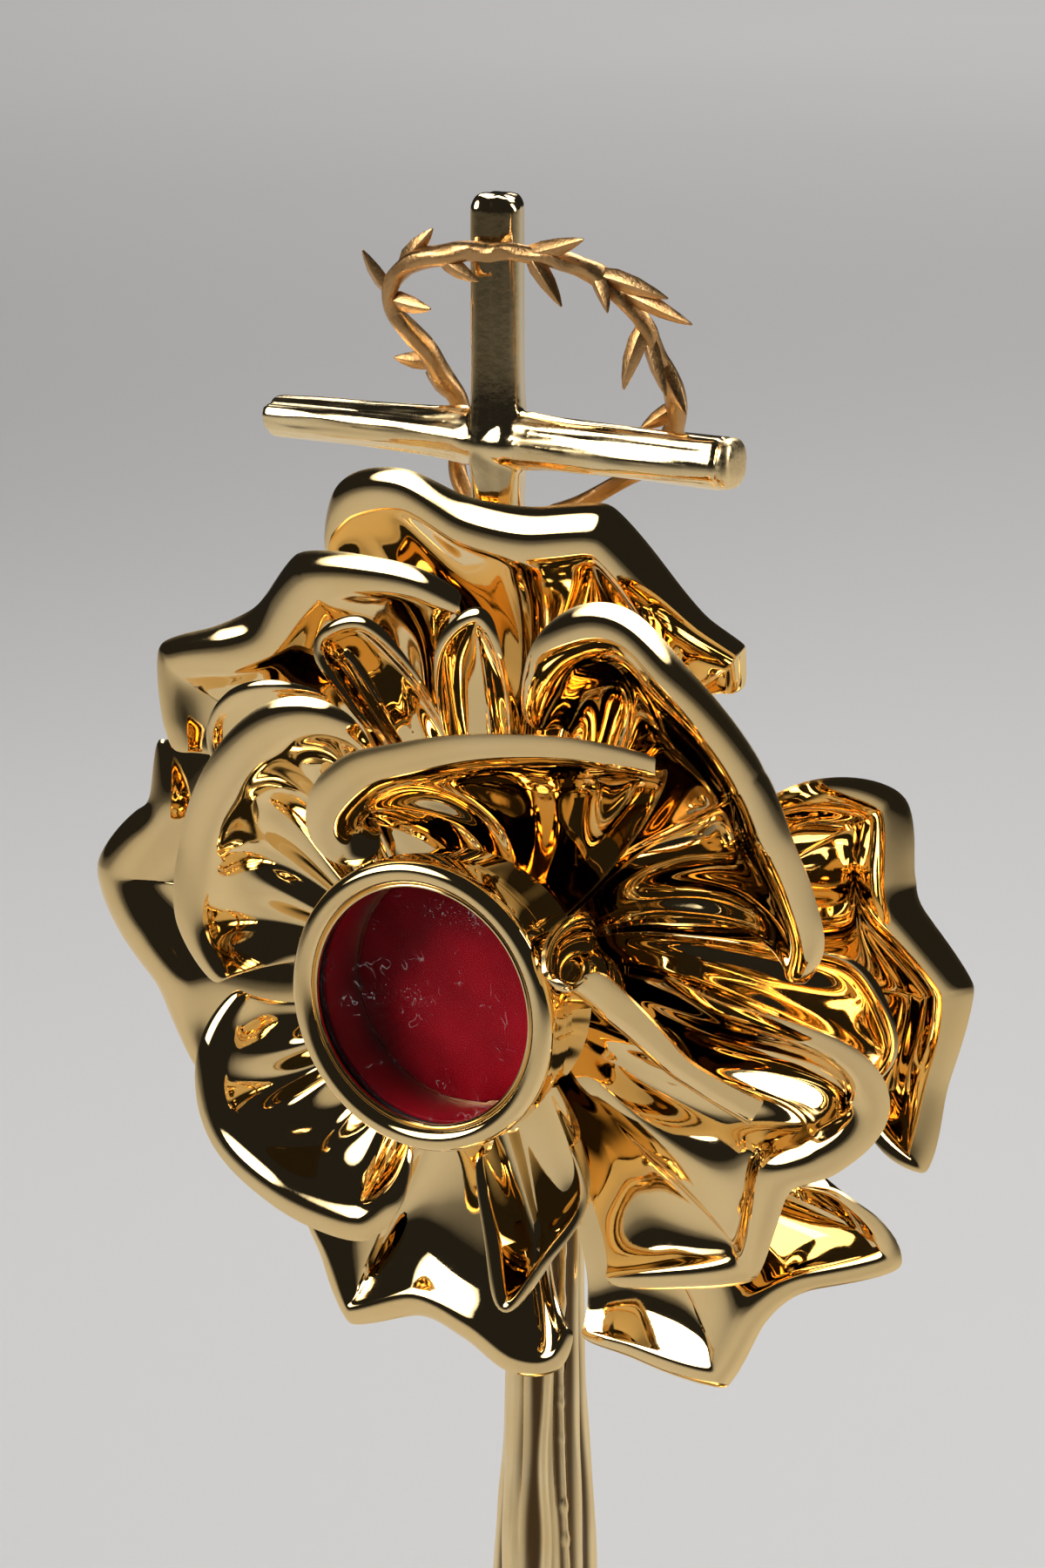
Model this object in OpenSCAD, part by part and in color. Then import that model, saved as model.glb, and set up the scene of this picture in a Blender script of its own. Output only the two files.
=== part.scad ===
// Rose reliquary: a sheet-metal rose on a bark stem carries a glazed relic capsule,
// with a log cross and a crown of thorns above it. Millimetres, +Z up, front is -Y.
// Origin: middle of the foot's underside.

/* [Foot] */
// Width of the foot's flange outside the iron weight
foot_flange = 25; // [18:1:35]
// Height of the foot's flange
flange_t = 4; // [3:0.5:6]
// Rise of the foot's neck above the iron weight
foot_neck = 13.5; // [9:0.5:18]
// Wall of the foot's shell
foot_wall = 2; // [1.5:0.25:3]
// Thickness of the felt under the foot
felt_t = 2; // [1:0.5:3]
// Radius of the iron weight
weight_r = 30; // [24:1:36]
// Thickness of the iron weight
weight_t = 6; // [4:0.5:9]

/* [Stem] */
// Height of the stem
stem_h = 138; // [125:1:150]
// Radius of the stem at the foot
stem_foot_r = 10.5; // [9:0.5:12]
// Radius of the stem under the rose
stem_top_r = 5.2; // [5:0.1:6]
// Number of bark ridges round the stem
stem_ridges = 7; // [5:1:9]
// Depth of the bark ridges
bark_depth = 0.5; // [0.2:0.1:0.8]
// Radius of the tie rod
rod_r = 2; // [1.5:0.25:2.25]
// Clearance of pins, rods and screws in their bores
pin_gap = 0.05; // [0.03:0.01:0.1]

/* [Hub] */
// Gap between the end of the stem and the rim of the hub
stem_gap = 2; // [1:0.25:4]
// Radius of the hub's outer seat
hub_r = 24; // [23.5:0.25:25]
// Forward place of the hub's back face
hub_back = 2.5; // [2.25:0.25:3.5]
// Thickness of the hub's rim, up to the outer petals' seat
hub_rim = 5.5; // [5:0.25:7]
// Height of each step between the petals' seats
seat_step = 2.5; // [2:0.25:3]
// Width of the outer petals' seat
outer_seat_w = 6.5; // [5.5:0.25:7]
// Width of the middle petals' seat
middle_seat_w = 4.3; // [3.8:0.1:4.5]
// Radius of the screws that hold the hub
screw_r = 1.5; // [1.25:0.25:1.75]

/* [Petals] */
// Thickness of the petal sheet
petal_t = 0.7; // [0.5:0.1:0.9]
// Radius of the rose at its top petal
rose_r = 68; // [66:0.5:70]
// Radius of the widest rolled lip
lip_r = 6.4; // [6:0.1:6.6]
// Least distance of a rim from the bezel
petal_gap = 2.2; // [2:0.1:3]
// Angle that a lip rolls through
lip_turn = 88; // [80:2:100]
// Facets between two points of a petal's rim
petal_across = 2; // [1:1:3]
// Facets up the body of a petal
petal_up = 5; // [4:1:7]
// Facets round a lip
petal_lip = 4; // [3:1:6]

/* [Capsule] */
// Outside radius of the bezel
bezel_r = 21; // [20.5:0.1:21.3]
// Radius of the window in the bezel
window_r = 17; // [16.5:0.1:17.2]
// Depth of the bezel
bezel_depth = 8; // [7:0.25:8.5]
// Thickness of the bezel's front lip
bezel_lip = 1.6; // [1.4:0.1:2]
// Outside radius of the capsule's cup
cup_r = 19.2; // [19:0.05:19.3]
// Wall of the cup
cup_wall = 1.2; // [1:0.05:1.3]
// Length of the cup
cup_len = 11.7; // [11:0.1:13]
// Length of the neck between hub and cup
neck_len = 7; // [6:0.25:8]
// Radius of the neck that carries the cup
neck_r = 9.3; // [8:0.1:9.5]
// Radius of the spigot in the hub
spigot_r = 4; // [3:0.25:4.5]
// Running clearance of the screw thread
thread_gap = 0.08; // [0.05:0.01:0.1]
// Thickness of the glass
glass_t = 1.9; // [1.5:0.1:2.2]
// Thickness of the gasket
gasket_t = 0.8; // [0.5:0.1:1]
// Thickness of the backing disc
backing_t = 1.2; // [1:0.1:1.5]
// Height of the silk pad's edge
pad_edge = 1.2; // [1:0.1:1.5]
// Rise of the silk pad's middle
pad_rise = 1.8; // [1:0.1:2]
// Wall of the liner ring that holds the silk
liner_wall = 0.6; // [0.5:0.1:0.8]

/* [Cross] */
// Sideways place of the cross
cross_x = -4; // [-5:0.25:-3]
// Forward place of the cross
cross_f = 6.5; // [6.25:0.25:7]
// Height of the upright's foot above the axis of the rose
upright_foot = 57; // [56:0.5:59]
// Length of the upright
upright_len = 52; // [50:0.5:56]
// Radius of the upright
upright_r = 4; // [3.75:0.05:4.1]
// Height of the arm above the axis of the rose
arm_z = 74.7; // [74:0.1:75.5]
// Length of the arm
arm_len = 76; // [70:1:80]
// Radius of the arm at its left end
arm_left_r = 3; // [2.75:0.05:3.25]
// Radius of the arm at its right end
arm_right_r = 3.9; // [3.5:0.05:4]
// Radius of the post that carries the cross
post_r = 1.8; // [1.5:0.1:2]
// Depth of the post in the upright and in the hub
post_depth = 9; // [7:0.5:10]

/* [Crown] */
// Radius of the crown's twig
twig_r = 1.4; // [1.1:0.05:1.5]
// Thickness of a thorn at its root
thorn_r = 1.1; // [0.9:0.05:1.2]

/* [Hidden] */
$fn = 96;
eps = 0.01;
washer_t = 0.8;
nut_t = 3.2;
nut_room = 0.5;
weight_z = felt_t + nut_room + nut_t + washer_t;
weight_top = weight_z + weight_t;
foot_h = weight_top + foot_neck;
foot_r = weight_r + foot_flange;
stem_top = foot_h + stem_h;
rose_z = stem_top + stem_gap + hub_r;
outer_seat_f = hub_back + hub_rim;
middle_seat_f = outer_seat_f + seat_step;
inner_seat_f = middle_seat_f + seat_step;
middle_seat_r = hub_r - outer_seat_w;
inner_seat_r = middle_seat_r - middle_seat_w;
gold = "goldenrod";
dark_gold = "peru";

// small vector tools
function unit(v) = v / norm(v);
function across_of(v, t) = v - (v * t) * t;
function mix(a, b, s) = a + (b - a) * s;
function bezier(a, b, c, d, s) =
    a * pow(1 - s, 3) + 3 * b * s * pow(1 - s, 2) + 3 * c * s * s * (1 - s) + d * pow(s, 3);

// a smooth curve through points [x, y, z, pinch]; open, or closed into a ring.
// A pinch of 1 makes a sharp corner at its point, and none leaves it smooth.
function knot(p, i, ring) = ring ? p[(i + len(p)) % len(p)] : p[min(max(i, 0), len(p) - 1)];
function place(k) = [k[0], k[1], k[2]];
function pinch(k) = is_undef(k[3]) ? 0 : k[3];
function span_count(p, ring) = ring ? len(p) : len(p) - 1;
function span(p, u, ring) = min(floor(u * span_count(p, ring)), span_count(p, ring) - 1);
function through(p, u, ring = false) =
    let (i = span(p, u, ring),
         s = u * span_count(p, ring) - i,
         b = knot(p, i, ring), c = knot(p, i + 1, ring),
         leave = (1 - pinch(b)) * (place(c) - place(knot(p, i - 1, ring))) / 2,
         reach = (1 - pinch(c)) * (place(knot(p, i + 2, ring)) - place(b)) / 2)
    bezier(place(b), place(b) + leave / 3, place(c) - reach / 3, place(c), s);
function pinch_at(p, u) =
    let (i = span(p, u, false), s = u * span_count(p, false) - i)
    pinch(knot(p, i, false)) * pow(1 - s, 2) + pinch(knot(p, i + 1, false)) * s * s;

// a closed skin round rows of points: first and last row are capped by their middles
function ring_skin(rows, n) = concat(
    [for (j = [0 : rows - 2], i = [0 : n - 1], k = [0, 1])
        let (a = j * n + i, b = j * n + (i + 1) % n)
        k == 0 ? [a, b + n, b] : [a, a + n, b + n]],
    [for (i = [0 : n - 1]) [rows * n, i, (i + 1) % n]],
    [for (i = [0 : n - 1]) let (t = (rows - 1) * n) [rows * n + 1, t + (i + 1) % n, t + i]]);

// a bark log along +Z; the list holds [height, radius] and the ridges twist a little
module bark_log(profile, ridges, depth, twist = 20, n = 28) {
    rows = len(profile);
    top = profile[rows - 1][0];
    points = [for (p = profile, i = [0 : n - 1])
        let (a = 360 * i / n,
             bark = sin(ridges * a + twist * p[0] / top) + 0.6 * sin((ridges + 4) * a - 3 * p[0]),
             r = p[1] - depth * (0.8 - 0.5 * bark))
        [r * cos(a), r * sin(a), p[0]]];
    polyhedron(concat(points, [[0, 0, profile[0][0]], [0, 0, top]]), ring_skin(rows, n));
}

// everything on the rose is drawn with its local Z pointing forward from the stem's axis
module facing() {
    translate([0, 0, rose_z]) rotate([90, 0, 0]) children();
}

module pipe(r, hole, z0, z1) {
    translate([0, 0, z0]) difference() {
        cylinder(r = r, h = z1 - z0);
        translate([0, 0, -1]) cylinder(r = hole, h = z1 - z0 + 2);
    }
}

// a petal's point in polar terms: angle and radius round the axis of the rose, and forward place
function spot(p) = [p[1] * cos(p[0]), p[1] * sin(p[0]), p[2]];
ahead = [0, 0, 1];
// how far the outline of a petal lies beyond the points of its rim
lip_out = 4.1;

// One petal: a flat root tab on its seat, a bowl up to the rim, and a lip that rolls back.
// seat = [inner radius, outer radius, forward place]; root = first and last angle of the tab;
// rim = points of [angle, radius, height above the seat, pinch], which grow with the rose;
// bowl = [rise at the root, its pull, rise at the rim, its pull, share of the lip's turn];
// lip = radius of the lip; ends = share of the lip that is left at the rim's two ends
// A wide lip starts further in, so that the petal's outline keeps its distance from the rim's points.
function swell(ends, u) = mix(mix(ends[0], ends[1], u), 1, pow(max(sin(180 * u), 0), 0.6));
function lip_reach(bowl) =
    let (t = bowl[4] * lip_turn, d = unit([1 - bowl[2], bowl[2], 0])) sin(t) * d[0] + (1 - cos(t)) * d[1];
function rim_at(rim, bowl, lip, ends, seat, u) =
    let (p = through(rim, u),
         beyond = lip_out * (1 - 0.2 * pinch_at(rim, u)),
         draw = max(lip * lip_reach(bowl) - beyond, 0) * swell(ends, u),
         grow = rose_r / 68)
    spot([p[0], max(grow * p[1] - draw, bezel_r + petal_gap), seat[2] + grow * p[2]]);
function petal_column(seat, root, rim, bowl, lip, ends, u) =
    let (a = mix(root[0], root[1], u),
         face = seat[2] + petal_t,
         heel = spot([a, seat[0], face]),
         bend = spot([a, seat[1], face]),
         c = lip * swell(ends, u),
         edge = rim_at(rim, bowl, lip, ends, seat, u),
         step = 0.14,
         run = unit(rim_at(rim, bowl, lip, ends, seat, min(u + step, 1))
                    - rim_at(rim, bowl, lip, ends, seat, max(u - step, 0))),
         turn = through(rim, u)[0],
         out = [cos(turn), sin(turn), 0],
         first = unit(bowl[0] * ahead + (1 - bowl[0]) * [cos(a), sin(a), 0]),
         last = unit(across_of(bowl[2] * ahead + (1 - bowl[2]) * out, run)),
         away = cross(run, last),
         reach = norm(edge - bend))
    concat([heel],
        [for (j = [0 : petal_up - 1])
            bezier(bend, bend + bowl[1] * reach * first, edge - bowl[3] * reach * last, edge,
                   j / petal_up)],
        [for (j = [0 : petal_lip])
            let (t = bowl[4] * lip_turn * j / petal_lip) edge + c * (sin(t) * last + (1 - cos(t)) * away)]);

module petal(seat, root, rim, bowl, lip, ends = [0.25, 0.25]) {
    n = petal_across * (len(rim) - 1);
    m = petal_up + petal_lip + 1;
    front = [for (i = [0 : n]) petal_column(seat, root, rim, bowl, lip, ends, i / n)];
    back = [for (i = [0 : n]) [for (j = [0 : m])
        j < 2 ? front[i][j] - petal_t * ahead
              : front[i][j] + petal_t * unit(cross(
                    front[min(i + 1, n)][j] - front[max(i - 1, 0)][j],
                    front[i][min(j + 1, m)] - front[i][j - 1]))]];
    points = [for (side = [front, back], column = side, p = column) p];
    far = (n + 1) * (m + 1);
    at = function (i, j) i * (m + 1) + j;
    border = concat([for (i = [0 : n]) at(i, 0)], [for (j = [1 : m]) at(n, j)],
                    [for (i = [n - 1 : -1 : 0]) at(i, m)], [for (j = [m - 1 : -1 : 1]) at(0, j)]);
    edges = len(border);
    faces = concat(
        [for (i = [0 : n - 1], j = [0 : m - 1], k = [0, 1]) k == 0
            ? [at(i, j), at(i + 1, j), at(i + 1, j + 1)]
            : [at(i, j), at(i + 1, j + 1), at(i, j + 1)]],
        [for (i = [0 : n - 1], j = [0 : m - 1], k = [0, 1]) k == 0
            ? [far + at(i + 1, j + 1), far + at(i + 1, j), far + at(i, j)]
            : [far + at(i, j + 1), far + at(i + 1, j + 1), far + at(i, j)]],
        [for (i = [0 : edges - 1], k = [0, 1])
            let (a = border[i], b = border[(i + 1) % edges])
            k == 0 ? [b, a, far + a] : [b, far + a, far + b]]);
    facing() polyhedron(points, faces);
}

outer_seat = [middle_seat_r + 0.5, hub_r - 0.5, outer_seat_f];
middle_seat = [inner_seat_r + 0.5, middle_seat_r - 0.5, middle_seat_f];
inner_seat = [neck_r + 0.5, inner_seat_r - 0.3, inner_seat_f];
outer_bowl = [0.06, 0.34, 0.42, 0.28, 0.95];
low_bowl = [0.1, 0.35, 0.4, 0.12, 0.9];
middle_bowl = [0.1, 0.3, 0.62, 0.45, 1];
wide_bowl = [0.1, 0.34, 0.5, 0.16, 0.95];
inner_bowl = [0.05, 0.45, 0.95, 0.4, 1.1];

// Foot
boss_r = stem_foot_r + 3;

module foot_felt() {
    color("darkslategray") cylinder(r = foot_r - 1, h = felt_t);
}

// half section of the foot, from the felt up to the stem's seat; the inside is the same, drawn in
module foot_outline(inset) {
    shoulder = weight_r + foot_wall + 1;
    offset(delta = -inset) polygon([
        [0, felt_t], [foot_r, felt_t], [foot_r, felt_t + flange_t],
        [foot_r - 1, felt_t + flange_t + 0.8], [foot_r - 4, felt_t + flange_t + 1],
        mix([foot_r - 5, felt_t + flange_t + 2], [shoulder, weight_top + foot_wall + 1], 0.45) - [0, 1],
        [shoulder, weight_top + foot_wall + 1],
        mix([shoulder, weight_top + foot_wall + 1], [boss_r + 1, foot_h - 3], 0.5) - [2, 1.5],
        [boss_r + 2.5, foot_h - 4], [boss_r + 1, foot_h - 2], [boss_r, foot_h], [0, foot_h]]);
}

module foot_shell() {
    color(gold) rotate_extrude() difference() {
        foot_outline(0);
        difference() {
            foot_outline(foot_wall);
            translate([0, weight_top]) square([boss_r - foot_wall, foot_neck]);
        }
        translate([0, felt_t - 1]) square([foot_r - foot_wall, foot_wall + 1]);
        square([rod_r + pin_gap, foot_h + 1]);
    }
}

module foot_weight() {
    color("dimgray") pipe(weight_r, rod_r + pin_gap, weight_z, weight_top);
}

module foot_washer() {
    color("silver") pipe(rod_r * 2.2, rod_r + pin_gap, weight_z - washer_t, weight_z);
}

module foot_nut() {
    color("silver") difference() {
        translate([0, 0, felt_t + nut_room]) cylinder(r = rod_r * 2, h = nut_t, $fn = 6);
        cylinder(r = rod_r + pin_gap, h = weight_z);
    }
}

module tie_rod() {
    color("silver") translate([0, 0, felt_t + nut_room])
        cylinder(r = rod_r, h = stem_top + rod_depth - felt_t - nut_room);
}

module stem() {
    color(gold) difference() {
        translate([0, 0, foot_h]) bark_log(
            [for (s = [0 : 0.125 : 1])
                [s * stem_h, mix(stem_foot_r, stem_top_r, s) + 1.6 * pow(1 - s, 12) + 0.25 * sin(900 * s)]],
            stem_ridges, bark_depth, twist = 60);
        translate([0, 0, foot_h - 1]) cylinder(r = rod_r + pin_gap, h = stem_h + 2);
    }
}

// Hub
rod_depth = 12;
bracket_top = 14;
screw_z = 9.5;
head_r = screw_r + 1.2;
head_t = 2;
bracket_r = stem_top_r;
bracket_len = stem_gap + hub_r + bracket_top;

module hub_bracket() {
    color(gold) difference() {
        translate([0, 0, stem_top]) cylinder(r = bracket_r, h = bracket_len);
        translate([-10, -10 - hub_back, stem_top + 1]) cube([20, 10, bracket_len]);
        translate([0, 0, stem_top - 1]) cylinder(r = rod_r + pin_gap, h = rod_depth + 1.5);
        facing() for (y = [-screw_z, screw_z]) translate([0, y, 0]) {
            translate([0, 0, -10]) cylinder(r = screw_r + pin_gap, h = 20);
            translate([0, 0, -10]) cylinder(r = head_r + pin_gap, h = 10 + head_t - bracket_r);
        }
    }
}

module hub_screw(y) {
    color("silver") facing() translate([0, y, 0]) {
        translate([0, 0, -bracket_r + 0.2]) cylinder(r = head_r, h = head_t - 0.2);
        translate([0, 0, -bracket_r + head_t - eps])
            cylinder(r = screw_r, h = bracket_r - head_t + outer_seat_f - 1.5);
    }
}

module hub_screw_upper() {
    hub_screw(screw_z);
}

module hub_screw_lower() {
    hub_screw(-screw_z);
}

module hub() {
    color(gold) difference() {
        facing() difference() {
            rotate_extrude() polygon([
                [0, hub_back], [hub_r, hub_back], [hub_r, outer_seat_f],
                [middle_seat_r, outer_seat_f], [middle_seat_r, middle_seat_f],
                [inner_seat_r, middle_seat_f], [inner_seat_r, inner_seat_f], [0, inner_seat_f]]);
            translate([0, 0, hub_back + 0.5]) cylinder(r = spigot_r + pin_gap, h = inner_seat_f);
            for (y = [-screw_z, screw_z]) translate([0, y, 0])
                cylinder(r = screw_r + pin_gap, h = outer_seat_f - 1.2);
        }
        translate([cross_x, -post_f, rose_z + post_foot]) cylinder(r = post_r + pin_gap, h = hub_r);
    }
}

// Petals, each from its right-hand end round to its left-hand end
module petal_outer_top() {
    color(gold) petal(outer_seat, [60, 104],
        [[52, 56, 1], [54, 61, 3, 0.9], [60, 60, 4], [68, 62, 5], [76, 67, 6, 0.9], [85, 63, 6], [96, 64, 5],
         [105, 69.5, 4], [113, 70, 2], [119, 64, 0]], outer_bowl, lip_r);
}

module petal_outer_upper_left() {
    color(gold) petal(outer_seat, [110, 152],
        [[95, 53, 8], [102, 56, 8], [112, 59, 7], [121, 62.5, 5, 0.9], [130, 59.5, 3], [137, 60, 2],
         [144, 64, 1], [149, 70, 0, 1], [154, 65, 0], [158, 62, 0]], outer_bowl, lip_r);
}

module petal_outer_left() {
    color(gold) petal(outer_seat, [162, 204],
        [[159, 67, -3, 0.6], [167, 64, -2], [173, 66, -2], [179, 72, -2, 1], [185, 67, -2], [192, 63, -2],
         [199, 63, -3], [206, 63, -3, 0.6]], outer_bowl, lip_r * 0.85);
}

module petal_outer_lower_left() {
    color(gold) petal(outer_seat, [230, 278],
        [[231, 56, 2], [239, 58, 3], [245, 63, 4, 1], [254, 54, 5], [265, 54, 6], [273, 58, 6],
         [278, 58, 5], [281, 54, 4]], outer_bowl, lip_r * 0.5);
}

module petal_outer_lower_right() {
    color(gold) petal(outer_seat, [-76, -34],
        [[-79, 56, 0], [-70, 58, 1], [-59, 65, 2, 1], [-50, 59, 2], [-40, 59.5, 1], [-30, 68, 0, 1],
         [-28, 59, 0], [-30, 53, 0]], outer_bowl, lip_r * 0.5);
}

module petal_outer_right() {
    color(gold) petal(outer_seat, [-16, 32],
        [[-12, 58, 0], [-17, 66, -2, 1], [-8, 64, -3], [3, 67, -3, 1], [12, 60, -2], [20, 60, -2],
         [27, 64, -2, 0.8], [31, 57, 0], [33, 49, 1]], outer_bowl, lip_r);
}

module petal_middle_upper_right() {
    color(gold) petal(middle_seat, [26, 74],
        [[9, 51, 9.5], [15, 55, 11.5], [23, 56, 12.5], [30, 57, 13.5], [38, 59, 13.5, 0.9], [54, 59, 13.5],
         [64, 59, 11.5], [70, 54, 9.5], [74, 46, 6.5], [77, 38, 3.5]], middle_bowl, lip_r);
}

module petal_middle_top() {
    color(gold) petal(middle_seat, [79, 101],
        [[86, 34, 4], [88, 44, 5.5], [91, 51, 7, 0.5], [98, 46, 6.5], [102, 34, 4.5]], low_bowl, lip_r * 0.25);
}

module petal_middle_upper_left() {
    color(gold) petal(middle_seat, [105, 122],
        [[104, 34, 3.5], [108, 44, 5.5], [113, 51, 6.5], [119, 52, 6.5, 0.6], [122, 50, 5.5], [122, 38, 3.5]],
        low_bowl, lip_r * 0.3);
}

module petal_middle_far_left() {
    color(gold) petal(middle_seat, [124, 144],
        [[130, 46, 1.5], [137, 52, 2.5], [145, 56, 1.5], [152, 56, 0.5], [157, 50, 0.5]], low_bowl, lip_r * 0.25);
}

module petal_middle_left() {
    color(gold) petal(middle_seat, [150, 188],
        [[119, 36, 11.5], [120, 40, 13.5], [127, 43.5, 13.5], [138, 45.5, 12.5], [150, 46.5, 11.5],
         [165, 47.5, 9.5, 0.4], [178, 47, 9.5], [189, 43, 9.5, 0.6]], middle_bowl, lip_r * 0.85);
}

module petal_middle_lower_left() {
    color(gold) petal(middle_seat, [196, 246],
        [[194, 43, 4.5], [203, 48.5, 7.5], [214, 51, 9.5], [227, 47, 11.5], [243, 42.5, 11.5, 0.9],
         [247, 36, 10.5], [247, 29, 9.5]], middle_bowl, lip_r * 0.75);
}

module petal_middle_lower_right() {
    color(gold) petal(middle_seat, [-66, 4],
        [[-68, 47, 2.5], [-54, 50, 3.5], [-42, 55, 4.5, 0.9], [-32, 52, 7.5], [-23, 51, 8.5], [-16, 56, 7.5],
         [-9, 60, 6.5], [-4, 58, 8.5], [-1, 50, 9.5], [1, 40, 9.5], [6, 30, 7.5]],
        wide_bowl, lip_r * 0.75);
}

module petal_middle_right() {
    color(gold) petal(middle_seat, [8, 22],
        [[-8, 58, 1.5], [-3, 60, 0.5], [3, 58, 0.5], [8, 54, 0.5], [11, 46, 1.5]], low_bowl, lip_r * 0.25);
}

module petal_inner_top() {
    color(gold) petal(inner_seat, [40, 116],
        [[47, 49, 13], [56, 45, 15], [71, 39, 16], [91, 34, 17], [107, 32, 17], [117, 30, 17],
         [121, 28, 16], [118, 26, 14]], inner_bowl, lip_r * 0.9, [0.5, 0.3]);
}

module petal_inner_right() {
    color(gold) petal(inner_seat, [-35, 30],
        [[-14, 51, 12], [-11, 44, 14], [-6, 38, 16], [5, 32, 19], [15, 28, 21], [21, 25, 23],
         [24, 23.5, 25]], inner_bowl, lip_r, [0.9, 0.3]);
}

module petal_inner_bottom() {
    color(gold) petal(inner_seat, [264, 300],
        [[270, 27, 5], [275, 38, 6], [277, 47, 7, 0.8], [287, 40, 7], [299, 34, 6], [303, 27, 6]],
        inner_bowl, lip_r * 0.3);
}

// Capsule
floor_t = 1.5;
cup_back = inner_seat_f + neck_len;
cup_floor = cup_back + floor_t;
cup_front = cup_back + cup_len;
cup_in = cup_r - cup_wall;
glass_back = cup_front + gasket_t;
glass_front = glass_back + glass_t;
bezel_front = glass_front + bezel_lip;
glass_r = cup_r - 0.2;
lining_f = cup_floor + backing_t;
lining_gap = 0.1;

module capsule_cup() {
    color(gold) facing() rotate_extrude() polygon([
        [0, hub_back + 1], [spigot_r, hub_back + 1], [spigot_r, inner_seat_f], [neck_r, inner_seat_f],
        [neck_r, cup_back - 1.5], [neck_r + 1.5, cup_back], [cup_r - 0.6, cup_back],
        [cup_r, cup_back + 0.6], [cup_r, cup_front], [cup_in, cup_front], [cup_in, cup_floor],
        [0, cup_floor]]);
}

module backing_disc() {
    color("darkgoldenrod") facing() translate([0, 0, cup_floor])
        cylinder(r = cup_in - lining_gap, h = backing_t);
}

// a crowned pad of red silk
module silk_pad() {
    r = cup_in - liner_wall - 3 * lining_gap;
    ball = (r * r + pad_rise * pad_rise) / (2 * pad_rise);
    sweep = asin(r / ball);
    color("darkred") facing() translate([0, 0, lining_f]) rotate_extrude() polygon(concat(
        [[0, 0], [r, 0]],
        [for (t = [0 : 8])
            let (a = sweep * (1 - t / 8)) [ball * sin(a), pad_edge + pad_rise - ball * (1 - cos(a))]]));
}

module liner_ring() {
    color(gold) facing()
        pipe(cup_in - lining_gap, cup_in - lining_gap - liner_wall, lining_f, cup_front - 0.3);
}

module gasket() {
    color("black") facing() pipe(glass_r, window_r + 0.6, cup_front, glass_back);
}

module glass() {
    color("lightblue") facing() translate([0, 0, glass_back]) cylinder(r = glass_r, h = glass_t);
}

// rounded ring with a step behind its front, a fine groove round its side and a screwed bore
module bezel() {
    bore = cup_r + thread_gap;
    back = bezel_front - bezel_depth;
    round_r = 2;
    color(gold) facing() rotate_extrude() polygon(concat(
        [[bore, back], [bezel_r - 0.8, back], [bezel_r - 0.8, back + 1.2], [bezel_r - 0.3, back + 1.6],
         [bezel_r - 0.3, back + 2.4], [bezel_r, back + 2.8]],
        [for (t = [0 : 15 : 90])
            [bezel_r - round_r + round_r * cos(t), bezel_front - round_r + round_r * sin(t)]],
        [[window_r + 0.9, bezel_front], [window_r + 0.6, bezel_front - 0.5],
         [window_r, bezel_front - 0.7], [window_r, glass_front], [bore, glass_front]]));
}

// Cross
post_f = mix(hub_back, outer_seat_f, 0.5);
post_foot = hub_r - post_depth;
lap_gap = 0.05;
arm_mid_r = 3.6;

module cross_post() {
    color(gold) translate([cross_x, -post_f, rose_z + post_foot + 0.5])
        cylinder(r = post_r, h = upright_foot + post_depth - post_foot - 0.5);
}

module upright_log() {
    translate([cross_x, -cross_f, rose_z + upright_foot]) bark_log(
        [[0, upright_r], [upright_len * 0.2, upright_r - 0.1], [upright_len * 0.5, upright_r],
         [upright_len * 0.8, upright_r - 0.2], [upright_len - 4, upright_r - 0.2],
         [upright_len - 1, upright_r - 0.5], [upright_len, upright_r - 1]], 4, 0.3, n = 20);
}

module arm_log() {
    translate([cross_x - arm_len / 2, -cross_f, rose_z + arm_z]) rotate([0, 90, 0]) bark_log(
        [[0, arm_left_r - 0.6], [0.8, arm_left_r], [arm_len * 0.25, arm_left_r + 0.1],
         [arm_len * 0.5, arm_mid_r], [arm_len * 0.75, arm_right_r - 0.2],
         [arm_len - 1, arm_right_r], [arm_len, arm_right_r - 0.6]], 4, 0.3, twist = 90, n = 20);
}

// half-lap joint: the upright keeps its front half and the arm its back half
module cross_upright() {
    color(gold) difference() {
        upright_log();
        translate([cross_x - 10, -cross_f, rose_z + arm_z - arm_mid_r - lap_gap])
            cube([20, 10, 2 * (arm_mid_r + lap_gap)]);
        translate([cross_x, -post_f, rose_z + upright_foot - 1])
            cylinder(r = post_r + pin_gap, h = post_depth + 1.5);
    }
}

module cross_arm() {
    color(gold) difference() {
        arm_log();
        translate([cross_x - upright_r - lap_gap, -cross_f - 10, rose_z + arm_z - 10])
            cube([2 * (upright_r + lap_gap), 10, 20]);
    }
}

// Crown: a twig bent into a ring that hangs on the upright, in front of it above the arm and
// behind it below: [sideways from the upright, from behind 0 to in front 1, height above the arm]
twig_gap = 0.2;
twig_front = cross_f + upright_r + twig_r + twig_gap;
twig_back = cross_f - upright_r - twig_r - 2;
twig_path = [
    [2, 1, 27], [-5, 0.98, 26.5], [-12, 0.9, 24], [-16, 0.8, 19.5], [-14, 0.6, 14.5], [-12, 0.35, 9.5],
    [-10, 0.1, 3.5], [-11, 0, -6.5], [-7, 0, -12.5], [-1, 0, -14], [5, 0, -11.5], [14, 0, -7],
    [22, 0, -1], [24.5, 0.05, 3.5], [25, 0.3, 10.5], [24, 0.55, 16], [22, 0.7, 21], [18.5, 0.85, 24.5],
    [14, 0.95, 26.5], [8, 1, 27.5]];
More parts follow.
